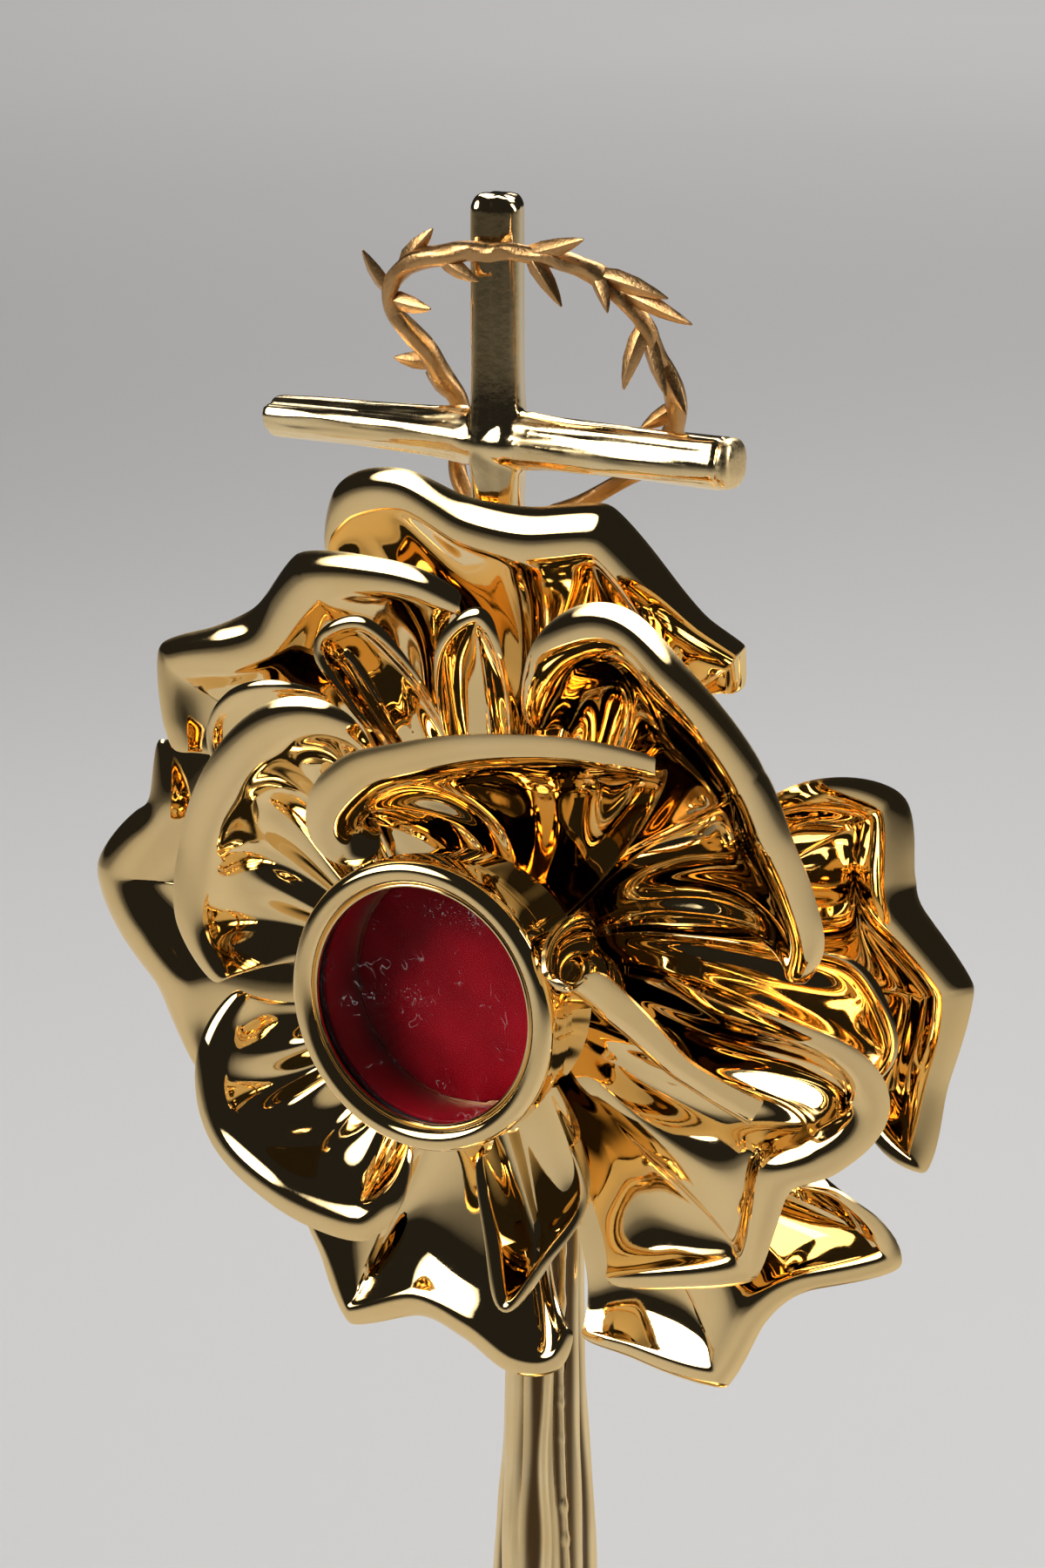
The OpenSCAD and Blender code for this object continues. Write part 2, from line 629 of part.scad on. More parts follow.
// thorns: place along the ring, and the thorn's reach [sideways, forward, up]
thorns = [
    [0.145, [-3, 1.5, 6]], [0.105, [5, 1.5, 6]], [0.16, [8, 1.5, 0]], [0.06, [7, 1.5, -3]],
    [0.95, [10, 1.5, 2.5]], [0.945, [5, 1.5, -7]], [0.86, [3, 1.5, -5]], [0.855, [11, 1, -2]],
    [0.82, [12, 1, -3]], [0.77, [-2, 2, -9]], [0.755, [3.5, 1, -8]], [0.72, [4, 1.5, -7]],
    [0.25, [-6, 1, 0.5]], [0.29, [-6, -1, 2]], [0.46, [5, -2, -2]]];

function twig_at(u) =
    let (p = through(twig_path, u - floor(u), true))
    [cross_x + p[0], -mix(twig_back, twig_front, p[1]), arm_z + p[2]];

module twig() {
    n = 60;
    sides = 6;
    points = [for (i = [0 : n - 1])
        let (p = twig_at(i / n),
             along = unit(twig_at((i + 1) / n) - twig_at((i - 1) / n)),
             side = unit(cross(along, [0.3, 1, 0.2])),
             up = cross(side, along),
             r = twig_r * (1 + 0.12 * sin(360 * 5 * i / n)))
        for (k = [0 : sides - 1])
            p + r * (cos(360 * k / sides) * side + sin(360 * k / sides) * up)];
    polyhedron(points, [for (i = [0 : n - 1], k = [0 : sides - 1], h = [0, 1])
        let (a = i * sides + k, b = i * sides + (k + 1) % sides,
             c = ((i + 1) % n) * sides + k, d = ((i + 1) % n) * sides + (k + 1) % sides)
        h == 0 ? [a, d, c] : [a, b, d]]);
}

// a lance-shaped thorn: a root in the twig, a flat shoulder and a blunt tip
module thorn(u, reach) {
    root = twig_at(u);
    tip = root + [reach[0], -reach[1], reach[2]];
    wide = unit(cross(tip - root, [0, 1, 0]));
    hull() {
        translate(root) sphere(r = thorn_r * 0.8, $fn = 6);
        for (s = [-1, 1]) translate(mix(root, tip, 0.45) + s * 0.8 * thorn_r * wide)
            sphere(r = thorn_r * 0.6, $fn = 6);
        translate(tip) sphere(r = 0.3, $fn = 5);
    }
}

module crown_of_thorns() {
    color(dark_gold) translate([0, 0, rose_z]) union() {
        twig();
        for (t = thorns) thorn(t[0], t[1]);
    }
}

foot_felt();
foot_shell();
foot_weight();
foot_washer();
foot_nut();
tie_rod();
stem();
hub_bracket();
hub_screw_upper();
hub_screw_lower();
hub();
petal_outer_top();
petal_outer_upper_left();
petal_outer_left();
petal_outer_lower_left();
petal_outer_lower_right();
petal_outer_right();
petal_middle_upper_right();
petal_middle_top();
petal_middle_upper_left();
petal_middle_far_left();
petal_middle_left();
petal_middle_lower_left();
petal_middle_lower_right();
petal_middle_right();
petal_inner_top();
petal_inner_right();
petal_inner_bottom();
capsule_cup();
backing_disc();
silk_pad();
liner_ring();
gasket();
glass();
bezel();
cross_post();
cross_upright();
cross_arm();
crown_of_thorns();
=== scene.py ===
import math
import bpy
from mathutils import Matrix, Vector, noise


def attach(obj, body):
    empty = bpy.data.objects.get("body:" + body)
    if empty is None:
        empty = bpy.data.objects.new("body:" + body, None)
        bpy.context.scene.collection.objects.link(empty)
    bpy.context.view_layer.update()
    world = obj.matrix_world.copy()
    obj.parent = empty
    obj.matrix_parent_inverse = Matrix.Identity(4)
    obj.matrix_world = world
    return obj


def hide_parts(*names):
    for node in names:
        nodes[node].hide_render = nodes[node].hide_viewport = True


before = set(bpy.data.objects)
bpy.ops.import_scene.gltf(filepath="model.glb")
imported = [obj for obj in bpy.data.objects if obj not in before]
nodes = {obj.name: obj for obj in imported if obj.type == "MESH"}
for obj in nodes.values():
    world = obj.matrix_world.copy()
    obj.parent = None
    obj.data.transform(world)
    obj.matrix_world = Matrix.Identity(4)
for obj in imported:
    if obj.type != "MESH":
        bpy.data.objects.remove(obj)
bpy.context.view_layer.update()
mm = 0.001
weld = 0.000004  # points nearer to each other than this, in metres, become one
roseHeight = 190 * mm  # axis of the rose above the floor
print("frame: loaded", len(nodes), "nodes")

# stage: floor, soft boxes and the camera at the photograph's angle
stageSet = {
    "floor": {"size": 12, "place": (0, 2.5, -0.0002), "colour": (0.62, 0.61, 0.60)},
    "world": (0.016, 0.016, 0.017),
    "softBoxes": [  # name, place, aimed at, width, height, watts, fan in degrees
        ("boxLeft", (-1.05, -0.95, 1.05), (0, 0.12, 0.28), 1.6, 1.2, 5, 46),
        ("boxTop", (0.1, 1.0, 1.7), (0, 0.1, 0.2), 1.6, 0.8, 9, 140),
        ("boxRight", (1.35, 0.35, 0.8), (0, 0, 0.22), 0.35, 1.2, 1.4, 60),
        ("boxBack", (-1.2, 3.2, 2.6), (-1.2, 3.2, 0), 3.2, 2.4, 80, 180),
    ],
    "camera": {"place": (0.3138, -0.5502, 0.3835), "tilt": 75, "turn": 30, "lens": 105},
}


def makeStage(s):
    bpy.ops.object.select_all(action="DESELECT")
    bpy.ops.mesh.primitive_plane_add(size=s["floor"]["size"], location=s["floor"]["place"])
    floor = bpy.context.object
    floor.name = "studioFloor"
    bpy.ops.object.transform_apply(location=True, rotation=False, scale=False)
    for name, place, aim, wide, high, watts, fan in s["softBoxes"]:
        bpy.ops.object.light_add(type="AREA", location=place)
        lamp = bpy.context.object
        lamp.name = name
        lamp.data.shape = "RECTANGLE"
        lamp.data.size = wide
        lamp.data.size_y = high
        lamp.data.energy = watts
        lamp.data.spread = math.radians(fan)
        lamp.rotation_euler = (Vector(aim) - Vector(place)).to_track_quat("-Z", "Y").to_euler()
    world = bpy.data.worlds.new("studioWorld")
    world.use_nodes = True
    world.node_tree.nodes["Background"].inputs["Color"].default_value = (*s["world"], 1)
    bpy.context.scene.world = world
    c = s["camera"]
    turned = (math.radians(c["tilt"]), 0, math.radians(c["turn"]))
    bpy.ops.object.camera_add(location=c["place"], rotation=turned)
    bpy.context.object.data.lens = c["lens"]
    bpy.context.scene.camera = bpy.context.object
    bpy.context.scene.view_settings.view_transform = "Standard"
    return floor


floor = makeStage(stageSet)
print("stage: floor, soft boxes and camera")


# materials: every finish is made of nodes on Object coordinates or an attribute
def startMaterial(name):
    mat = bpy.data.materials.new(name)
    mat.use_nodes = True
    return mat, mat.node_tree, mat.node_tree.nodes["Principled BSDF"]


def addNode(tree, kind, settings=None, **values):
    node = tree.nodes.new(kind)
    for key, value in (settings or {}).items():
        setattr(node, key, value)
    for key, value in values.items():
        node.inputs[key.replace("_", " ")].default_value = value
    return node


def coordinates(tree):
    return addNode(tree, "ShaderNodeTexCoord").outputs["Object"]


def noiseOn(tree, vector, scale, detail=3.0, rough=0.5):
    node = addNode(tree, "ShaderNodeTexNoise", Scale=scale, Detail=detail, Roughness=rough)
    tree.links.new(vector, node.inputs["Vector"])
    return node.outputs["Fac"]


def ramp(tree, value, low, high, placeLow=0.3, placeHigh=0.7):
    node = addNode(tree, "ShaderNodeValToRGB")
    node.color_ramp.elements[0].position = placeLow
    node.color_ramp.elements[1].position = placeHigh
    node.color_ramp.elements[0].color = (*low, 1)
    node.color_ramp.elements[1].color = (*high, 1)
    tree.links.new(value, node.inputs["Fac"])
    return node.outputs["Color"]


def spread(tree, value, low, high, fromLow=0.3, fromHigh=0.7):
    node = addNode(tree, "ShaderNodeMapRange", From_Min=fromLow, From_Max=fromHigh, To_Min=low, To_Max=high)
    tree.links.new(value, node.inputs["Value"])
    return node.outputs["Result"]


def combine(tree, how, a, b):
    node = addNode(tree, "ShaderNodeMath", {"operation": how})
    tree.links.new(a, node.inputs[0])
    if isinstance(b, (int, float)):
        node.inputs[1].default_value = b
    else:
        tree.links.new(b, node.inputs[1])
    return node.outputs["Value"]


def bumpFrom(tree, shader, height, strength, distance):
    node = addNode(tree, "ShaderNodeBump", Strength=strength, Distance=distance)
    tree.links.new(height, node.inputs["Height"])
    tree.links.new(node.outputs["Normal"], shader.inputs["Normal"])


def attribute(tree, name):
    return addNode(tree, "ShaderNodeAttribute", {"attribute_name": name}).outputs["Fac"]


def polishedGold():
    mat, tree, shader = startMaterial("polishedGold")
    shader.inputs["Metallic"].default_value = 1
    here = coordinates(tree)
    cloudy = noiseOn(tree, here, 70, 4)
    smear = noiseOn(tree, here, 420, 5, 0.65)
    tree.links.new(ramp(tree, cloudy, (1.0, 0.74, 0.37), (0.97, 0.69, 0.31)), shader.inputs["Base Color"])
    smeared = spread(tree, smear, 0.0, 0.045, 0.5, 0.8)
    shine = combine(tree, "ADD", spread(tree, cloudy, 0.02, 0.05), smeared)
    worn = combine(tree, "MULTIPLY", attribute(tree, "rimWear"), 0.22)
    tree.links.new(combine(tree, "ADD", shine, worn), shader.inputs["Roughness"])
    bumpFrom(tree, shader, smear, 0.05, 0.0001)
    return mat


def barkGold():
    mat, tree, shader = startMaterial("barkGold")
    shader.inputs["Metallic"].default_value = 1
    here = coordinates(tree)
    grain = attribute(tree, "barkGrain")
    fleck = noiseOn(tree, here, 900, 4, 0.6)
    patch = noiseOn(tree, here, 120, 3)
    bright = ramp(tree, patch, (1.0, 0.78, 0.43), (0.96, 0.70, 0.34))
    # painted dark reflection: the bark's grooves are mixed towards near-black, in place of the dark
    # surroundings they would mirror
    groove = attribute(tree, "paintedGrooveDark")
    paintedDark = addNode(tree, "ShaderNodeMix", {"data_type": "RGBA"})
    tree.links.new(combine(tree, "MULTIPLY", groove, 0.97), paintedDark.inputs[0])
    tree.links.new(bright, paintedDark.inputs[6])
    paintedDark.inputs[7].default_value = (0.08, 0.04, 0.013, 1)
    tree.links.new(paintedDark.outputs[2], shader.inputs["Base Color"])
    worn = spread(tree, grain, 0.05, 0.34, 0.35, 0.9)
    rough = combine(tree, "ADD", worn, spread(tree, fleck, 0, 0.08, 0.4, 0.8))
    tree.links.new(rough, shader.inputs["Roughness"])
    bumpFrom(tree, shader, fleck, 0.12, 0.0002)
    return mat


def satinGold():
    mat, tree, shader = startMaterial("satinGold")
    shader.inputs["Metallic"].default_value = 1
    here = coordinates(tree)
    cast = noiseOn(tree, here, 2600, 3, 0.6)
    patch = noiseOn(tree, here, 160, 3)
    tree.links.new(ramp(tree, patch, (0.68, 0.40, 0.17), (0.48, 0.26, 0.095)), shader.inputs["Base Color"])
    tree.links.new(spread(tree, cast, 0.26, 0.42), shader.inputs["Roughness"])
    bumpFrom(tree, shader, cast, 0.35, 0.0002)
    return mat


def spunGold():  # turned: bright on its mouldings, satin between them
    mat, tree, shader = startMaterial("spunGold")
    shader.inputs["Metallic"].default_value = 1
    shader.inputs["Anisotropic"].default_value = 0.5
    turned = addNode(tree, "ShaderNodeTangent", {"direction_type": "RADIAL", "axis": "Z"})
    tree.links.new(turned.outputs["Tangent"], shader.inputs["Tangent"])
    here = coordinates(tree)
    cloudy = noiseOn(tree, here, 60, 4)
    tree.links.new(ramp(tree, cloudy, (1.0, 0.74, 0.37), (0.97, 0.69, 0.31)), shader.inputs["Base Color"])
    satin = attribute(tree, "satinBand")
    rough = combine(tree, "ADD", spread(tree, cloudy, 0.03, 0.06), combine(tree, "MULTIPLY", satin, 0.26))
    tree.links.new(rough, shader.inputs["Roughness"])
    rings = addNode(tree, "ShaderNodeTexWave", {"wave_type": "RINGS", "rings_direction": "Z"},
                    Scale=420, Distortion=0.6)
    tree.links.new(here, rings.inputs["Vector"])
    bumpFrom(tree, shader, combine(tree, "MULTIPLY", rings.outputs["Fac"], satin), 0.15, 0.00004)
    return mat


def redSilk():
    mat, tree, shader = startMaterial("redSilk")
    weave = addNode(tree, "ShaderNodeTexWave", {"wave_type": "BANDS", "bands_direction": "DIAGONAL"},
                    Scale=1600, Distortion=1.2, Detail=2)
    tree.links.new(coordinates(tree), weave.inputs["Vector"])
    cloud = noiseOn(tree, coordinates(tree), 130, 3)
    red = ramp(tree, cloud, (0.32, 0.001, 0.008), (0.5, 0.003, 0.016))
    tree.links.new(red, shader.inputs["Base Color"])
    shader.inputs["Roughness"].default_value = 0.42
    shader.inputs["Specular IOR Level"].default_value = 0.12
    shader.inputs["Sheen Weight"].default_value = 0.1
    shader.inputs["Sheen Roughness"].default_value = 0.4
    shader.inputs["Sheen Tint"].default_value = (1.0, 0.05, 0.08, 1)
    bumpFrom(tree, shader, weave.outputs["Fac"], 0.1, 0.00004)
    return mat


def clearGlass():  # with specks of dust and a few threads of lint
    mat, tree, shader = startMaterial("clearGlass")
    shader.inputs["IOR"].default_value = 1.12  # the coated glass hardly mirrors
    here = coordinates(tree)
    speck = combine(tree, "MULTIPLY", noiseOn(tree, here, 3000, 2, 0.6), noiseOn(tree, here, 150, 3))
    curl = noiseOn(tree, here, 420, 1)
    rising = spread(tree, curl, 0, 1, 0.485, 0.5)
    falling = spread(tree, curl, 1, 0, 0.5, 0.515)
    patches = spread(tree, noiseOn(tree, here, 230, 2), 0, 1, 0.61, 0.65)
    thread = combine(tree, "MULTIPLY", combine(tree, "MINIMUM", rising, falling), patches)
    dust = combine(tree, "MAXIMUM", spread(tree, speck, 0, 1, 0.41, 0.46), thread)
    tree.links.new(spread(tree, dust, 1, 0.72, 0, 1), shader.inputs["Transmission Weight"])
    shader.inputs["Roughness"].default_value = 0.01
    path = addNode(tree, "ShaderNodeLightPath")
    through = combine(tree, "MAXIMUM", path.outputs["Is Shadow Ray"], path.outputs["Is Diffuse Ray"])
    clear = addNode(tree, "ShaderNodeBsdfTransparent")
    both = addNode(tree, "ShaderNodeMixShader")
    tree.links.new(through, both.inputs["Fac"])
    tree.links.new(shader.outputs["BSDF"], both.inputs[1])
    tree.links.new(clear.outputs["BSDF"], both.inputs[2])
    tree.links.new(both.outputs["Shader"], tree.nodes["Material Output"].inputs["Surface"])
    return mat


def plainFinish(name, colour, other, metal, rough, scale, relief):
    mat, tree, shader = startMaterial(name)
    shader.inputs["Metallic"].default_value = metal
    here = coordinates(tree)
    speck = noiseOn(tree, here, scale, 4, 0.6)
    tree.links.new(ramp(tree, speck, colour, other), shader.inputs["Base Color"])
    tree.links.new(spread(tree, speck, rough * 0.8, rough * 1.2), shader.inputs["Roughness"])
    bumpFrom(tree, shader, speck, relief, 0.0002)
    return mat


def floorPaint(tone):
    mat, tree, shader = startMaterial("floorPaint")
    cloudy = noiseOn(tree, coordinates(tree), 3, 3)
    darker = tuple(c * 0.985 for c in tone)
    tree.links.new(ramp(tree, cloudy, darker, tone), shader.inputs["Base Color"])
    shader.inputs["Roughness"].default_value = 0.75
    shader.inputs["Specular IOR Level"].default_value = 0.2
    return mat


finish = {
    "polished_gold": polishedGold(),
    "bark_gold": barkGold(),
    "satin_gold": satinGold(),
    "red_silk": redSilk(),
    "clear_glass": clearGlass(),
    "rubber": plainFinish("rubberGasket", (0.02, 0.02, 0.021), (0.035, 0.034, 0.033), 0, 0.6, 900, 0.2),
    "steel": plainFinish("steelRod", (0.62, 0.62, 0.63), (0.5, 0.5, 0.51), 1, 0.25, 1200, 0.1),
    "iron": plainFinish("castIron", (0.09, 0.085, 0.08), (0.16, 0.15, 0.14), 1, 0.55, 500, 0.4),
    "felt": plainFinish("feltPad", (0.02, 0.045, 0.03), (0.045, 0.075, 0.05), 0, 0.95, 1800, 0.8),
}
floor.data.materials.append(floorPaint(stageSet["floor"]["colour"]))
print("materials:", len(finish), "finishes")


# working tools
def startFresh():
    if bpy.context.object and bpy.context.object.mode != "OBJECT":
        bpy.ops.object.mode_set(mode="OBJECT")
    bpy.ops.object.select_all(action="DESELECT")


def pick(piece):
    startFresh()
    piece.select_set(True)
    bpy.context.view_layer.objects.active = piece


def applyAll(piece):
    pick(piece)
    for modifier in list(piece.modifiers):
        bpy.ops.object.modifier_apply(modifier=modifier.name)


def onRose(p):  # right, up and forward from the rose's axis, in mm
    return Vector((p[0] * mm, -p[2] * mm, p[1] * mm + roseHeight))


def handOver(piece, name, body, slot, *stoodFor):
    piece.name = name
    piece.data.name = name
    piece.data.materials.clear()
    piece.data.materials.append(finish[slot])
    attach(piece, body)
    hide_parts(*stoodFor)


def smoothEase(x):
    x = min(max(x, 0), 1)
    return x * x * (3 - 2 * x)


def lathe(outline, steps, axis):
    # outline is [radius, height along the axis] in mm, walked round once and spun
    centre = (0, 0, 0) if axis == "floor" else (0, 0, roseHeight)
    turn = (0, 0, 1) if axis == "floor" else (0, 1, 0)

    def put(p):
        if axis == "floor":
            return Vector((p[0] * mm, 0, p[1] * mm))
        return Vector((p[0] * mm, -p[1] * mm, roseHeight))

    startFresh()
    bpy.ops.mesh.primitive_plane_add(size=mm, location=put(outline[0]))
    bpy.ops.object.transform_apply(location=True, rotation=False, scale=False)
    bpy.ops.object.mode_set(mode="EDIT")
    bpy.ops.mesh.select_all(action="SELECT")
    bpy.ops.mesh.merge(type="CENTER")
    was = put(outline[0])
    for p in outline[1:] + outline[:1]:
        now = put(p)
        bpy.ops.mesh.extrude_region_move(TRANSFORM_OT_translate={"value": now - was})
        was = now
    bpy.ops.mesh.select_all(action="SELECT")
    bpy.ops.mesh.spin(steps=steps, angle=2 * math.pi, center=centre, axis=turn)
    bpy.ops.mesh.select_all(action="SELECT")
    bpy.ops.mesh.remove_doubles(threshold=weld)
    bpy.ops.mesh.normals_make_consistent(inside=False)
    bpy.ops.object.mode_set(mode="OBJECT")
    return bpy.context.object


def softenEdges(piece, width, segments=3, angle=28):
    bevel = piece.modifiers.new("edges", "BEVEL")
    bevel.width = width * mm
    bevel.segments = segments
    bevel.limit_method = "ANGLE"
    bevel.angle_limit = math.radians(angle)
    applyAll(piece)
    bpy.ops.object.shade_smooth_by_angle(angle=math.radians(40))


# petals: a flat root tab on the hub, a folded bowl and a lip that rolls back
petalSet = {
    "sheet": 0.7,
    "lipTurn": 88,
    "lipSway": 6,  # how much the lip's turn varies along the rim, in degrees
    "runStep": 0.14,  # share of the rim over which its direction is taken
    "dent": 0.4,
    "dentSize": 13,
    "lipOut": 4.1,  # how far the outline of a petal lies beyond the points of its rim
    "leastRadius": 23.2,  # clear of the bezel
    "columnsPerSpan": 14,
    "bowlRows": 36,
    "lipRows": 18,
    "seats": {"outer": (18, 23.5, 8), "middle": (13.7, 17, 10.5), "inner": (9.8, 12.9, 13)},
    "bowls": {  # rise at the root and its pull, rise at the rim and its pull, share of the lip's turn
        "outer": (0.06, 0.34, 0.42, 0.28, 0.95),
        "low": (0.1, 0.35, 0.4, 0.12, 0.9),
        "middle": (0.1, 0.3, 0.62, 0.45, 1),
        "wide": (0.1, 0.34, 0.5, 0.16, 0.95),
        "inner": (0.05, 0.45, 0.95, 0.4, 1.1),
    },
    # name: seat, bowl, lip radius, root angles, folds (count, depth), share of the lip at the rim's ends,
    # then the rim's points: angle, radius, height and pinch
    "petals": {
        "petal_outer_top": ("outer", "outer", 6.4, (60, 104), (3, 1.4), (0.25, 0.25), [
            (52, 56, 1), (54, 61, 3, 0.9), (60, 60, 4), (68, 62, 5), (76, 67, 6, 0.9), (85, 63, 6),
            (96, 64, 5), (105, 69.5, 4), (113, 70, 2), (119, 64, 0)]),
        "petal_outer_upper_left": ("outer", "outer", 6.4, (110, 152), (3, 1.3), (0.25, 0.25), [
            (95, 53, 8), (102, 56, 8), (112, 59, 7), (121, 62.5, 5, 0.9), (130, 59.5, 3), (137, 60, 2),
            (144, 64, 1), (149, 70, 0, 1), (154, 65, 0), (158, 62, 0)]),
        "petal_outer_left": ("outer", "outer", 5.4, (162, 204), (2, 1.2), (0.25, 0.25), [
            (159, 67, -3, 0.6), (167, 64, -2), (173, 66, -2), (179, 72, -2, 1), (185, 67, -2),
            (192, 63, -2), (199, 63, -3), (206, 63, -3, 0.6)]),
        "petal_outer_lower_left": ("outer", "outer", 3.2, (230, 278), (2, 1.2), (0.25, 0.25), [
            (231, 56, 2), (239, 58, 3), (245, 63, 4, 1), (254, 54, 5), (265, 54, 6), (273, 58, 6),
            (278, 58, 5), (281, 54, 4)]),
        "petal_outer_lower_right": ("outer", "outer", 3.2, (-76, -34), (2, 1.2), (0.25, 0.25), [
            (-79, 56, 0), (-70, 58, 1), (-59, 65, 2, 1), (-50, 59, 2), (-40, 59.5, 1), (-30, 68, 0, 1),
            (-28, 59, 0), (-30, 53, 0)]),
        "petal_outer_right": ("outer", "outer", 6.4, (-16, 32), (2, 1.1), (0.25, 0.25), [
            (-12, 58, 0), (-17, 66, -2, 1), (-8, 64, -3), (3, 67, -3, 1), (12, 60, -2), (20, 60, -2),
            (27, 64, -2, 0.8), (31, 57, 0), (33, 49, 1)]),
        "petal_middle_upper_right": ("middle", "middle", 6.4, (26, 74), (3, 1.2), (0.25, 0.25), [
            (9, 51, 9.5), (15, 55, 11.5), (23, 56, 12.5), (30, 57, 13.5), (38, 59, 13.5, 0.9),
            (54, 59, 13.5), (64, 59, 11.5), (70, 54, 9.5), (74, 46, 6.5), (77, 38, 3.5)]),
        "petal_middle_top": ("middle", "low", 1.6, (79, 101), (1, 0.8), (0.25, 0.25), [
            (86, 34, 4), (88, 44, 5.5), (91, 51, 7, 0.5), (98, 46, 6.5), (102, 34, 4.5)]),
        "petal_middle_upper_left": ("middle", "low", 1.9, (105, 122), (1, 0.8), (0.25, 0.25), [
            (104, 34, 3.5), (108, 44, 5.5), (113, 51, 6.5), (119, 52, 6.5, 0.6), (122, 50, 5.5),
            (122, 38, 3.5)]),
        "petal_middle_far_left": ("middle", "low", 1.6, (124, 144), (1, 0.6), (0.25, 0.25), [
            (130, 46, 1.5), (137, 52, 2.5), (145, 56, 1.5), (152, 56, 0.5), (157, 50, 0.5)]),
        "petal_middle_left": ("middle", "middle", 5.4, (150, 188), (5, 1.1), (0.25, 0.25), [
            (119, 36, 11.5), (120, 40, 13.5), (127, 43.5, 13.5), (138, 45.5, 12.5), (150, 46.5, 11.5),
            (165, 47.5, 9.5, 0.4), (178, 47, 9.5), (189, 43, 9.5, 0.6)]),
        "petal_middle_lower_left": ("middle", "middle", 4.8, (196, 246), (4, 1.6), (0.25, 0.25), [
            (194, 43, 4.5), (203, 48.5, 7.5), (214, 51, 9.5), (227, 47, 11.5), (243, 42.5, 11.5, 0.9),
            (247, 36, 10.5), (247, 29, 9.5)]),
        "petal_middle_lower_right": ("middle", "wide", 4.8, (-66, 4), (3, 1.2), (0.25, 0.25), [
            (-68, 47, 2.5), (-54, 50, 3.5), (-42, 55, 4.5, 0.9), (-32, 52, 7.5), (-23, 51, 8.5),
            (-16, 56, 7.5), (-9, 60, 6.5), (-4, 58, 8.5), (-1, 50, 9.5), (1, 40, 9.5), (6, 30, 7.5)]),
        "petal_middle_right": ("middle", "low", 1.6, (8, 22), (1, 0.6), (0.25, 0.25), [
            (-8, 58, 1.5), (-3, 60, 0.5), (3, 58, 0.5), (8, 54, 0.5), (11, 46, 1.5)]),
        "petal_inner_top": ("inner", "inner", 5.8, (40, 116), (4, 0.9), (0.5, 0.3), [
            (47, 49, 13), (56, 45, 15), (71, 39, 16), (91, 34, 17), (107, 32, 17), (117, 30, 17),
            (121, 28, 16), (118, 26, 14)]),
        "petal_inner_right": ("inner", "inner", 6.4, (-35, 30), (3, 0.8), (0.9, 0.3), [
            (-14, 51, 12), (-11, 44, 14), (-6, 38, 16), (5, 32, 19), (15, 28, 21), (21, 25, 23),
            (24, 23.5, 25)]),
        "petal_inner_bottom": ("inner", "inner", 1.9, (264, 300), (1, 0.5), (0.25, 0.25), [
            (270, 27, 5), (275, 38, 6), (277, 47, 7, 0.8), (287, 40, 7), (299, 34, 6), (303, 27, 6)]),
    },
}


def bezier(a, b, c, d, s):
    t = 1 - s
    return a * t ** 3 + 3 * b * s * t * t + 3 * c * s * s * t + d * s ** 3


def alongRim(rim, u):  # angle, radius and height at u, smooth through the rim's points, and the pinch
    spans = len(rim) - 1
    i = min(int(u * spans), spans - 1)
    s = u * spans - i

    def knot(k):
        return Vector(rim[min(max(k, 0), spans)][:3])

    def pinch(k):
        return rim[k][3] if len(rim[k]) > 3 else 0

    b, c = knot(i), knot(i + 1)
    leave = (1 - pinch(i)) * (c - knot(i - 1)) / 2
    reach = (1 - pinch(i + 1)) * (knot(i + 2) - b) / 2
    held = pinch(i) * (1 - s) ** 2 + pinch(i + 1) * s * s
    return bezier(b, b + leave / 3, c - reach / 3, c, s), held


def spot(angle, radius, forward):
    a = math.radians(angle)
    return Vector((radius * math.cos(a), radius * math.sin(a), forward))


def petalColumn(p, seat, bowl, lip, root, ends, rim, u):
    ahead = Vector((0, 0, 1))
    turn = math.radians(p["lipTurn"] * bowl[4])
    rise = Vector((1 - bowl[2], bowl[2])).normalized()
    lipReach = math.sin(turn) * rise.x + (1 - math.cos(turn)) * rise.y
    a = root[0] + (root[1] - root[0]) * u
    face = seat[2] + p["sheet"]
    heel = spot(a, seat[0], face)
    bend = spot(a, seat[1], face)

    def edgeAt(w):  # a wide lip starts further in, so that the outline stays on the rim's points
        w = min(max(w, 0), 1)
        q, held = alongRim(rim, w)
        least = ends[0] + (ends[1] - ends[0]) * w
        swell = least + (1 - least) * max(math.sin(math.pi * w), 0) ** 0.6
        draw = max(lip * lipReach - p["lipOut"] * (1 - 0.2 * held), 0) * swell
        return spot(q[0], max(q[1] - draw, p["leastRadius"]), seat[2] + q[2]), lip * swell

    place = alongRim(rim, u)[0]
    edge, c = edgeAt(u)
    turn += math.radians(p["lipSway"]) * math.sin(9 * u + root[0])
    run = (edgeAt(u + p["runStep"])[0] - edgeAt(u - p["runStep"])[0]).normalized()
    first = (bowl[0] * ahead + (1 - bowl[0]) * spot(a, 1, 0)).normalized()
    last = bowl[2] * ahead + (1 - bowl[2]) * spot(place[0], 1, 0)
    last = (last - last.dot(run) * run).normalized()
    away = run.cross(last)
    reach = (edge - bend).length
    points = [heel, heel.lerp(bend, 0.5)]
    for j in range(p["bowlRows"]):
        points.append(bezier(bend, bend + bowl[1] * reach * first, edge - bowl[3] * reach * last, edge,
                             j / p["bowlRows"]))
    for j in range(p["lipRows"] + 1):
        t = turn * j / p["lipRows"]
        points.append(edge + c * (math.sin(t) * last + (1 - math.cos(t)) * away))
    return points


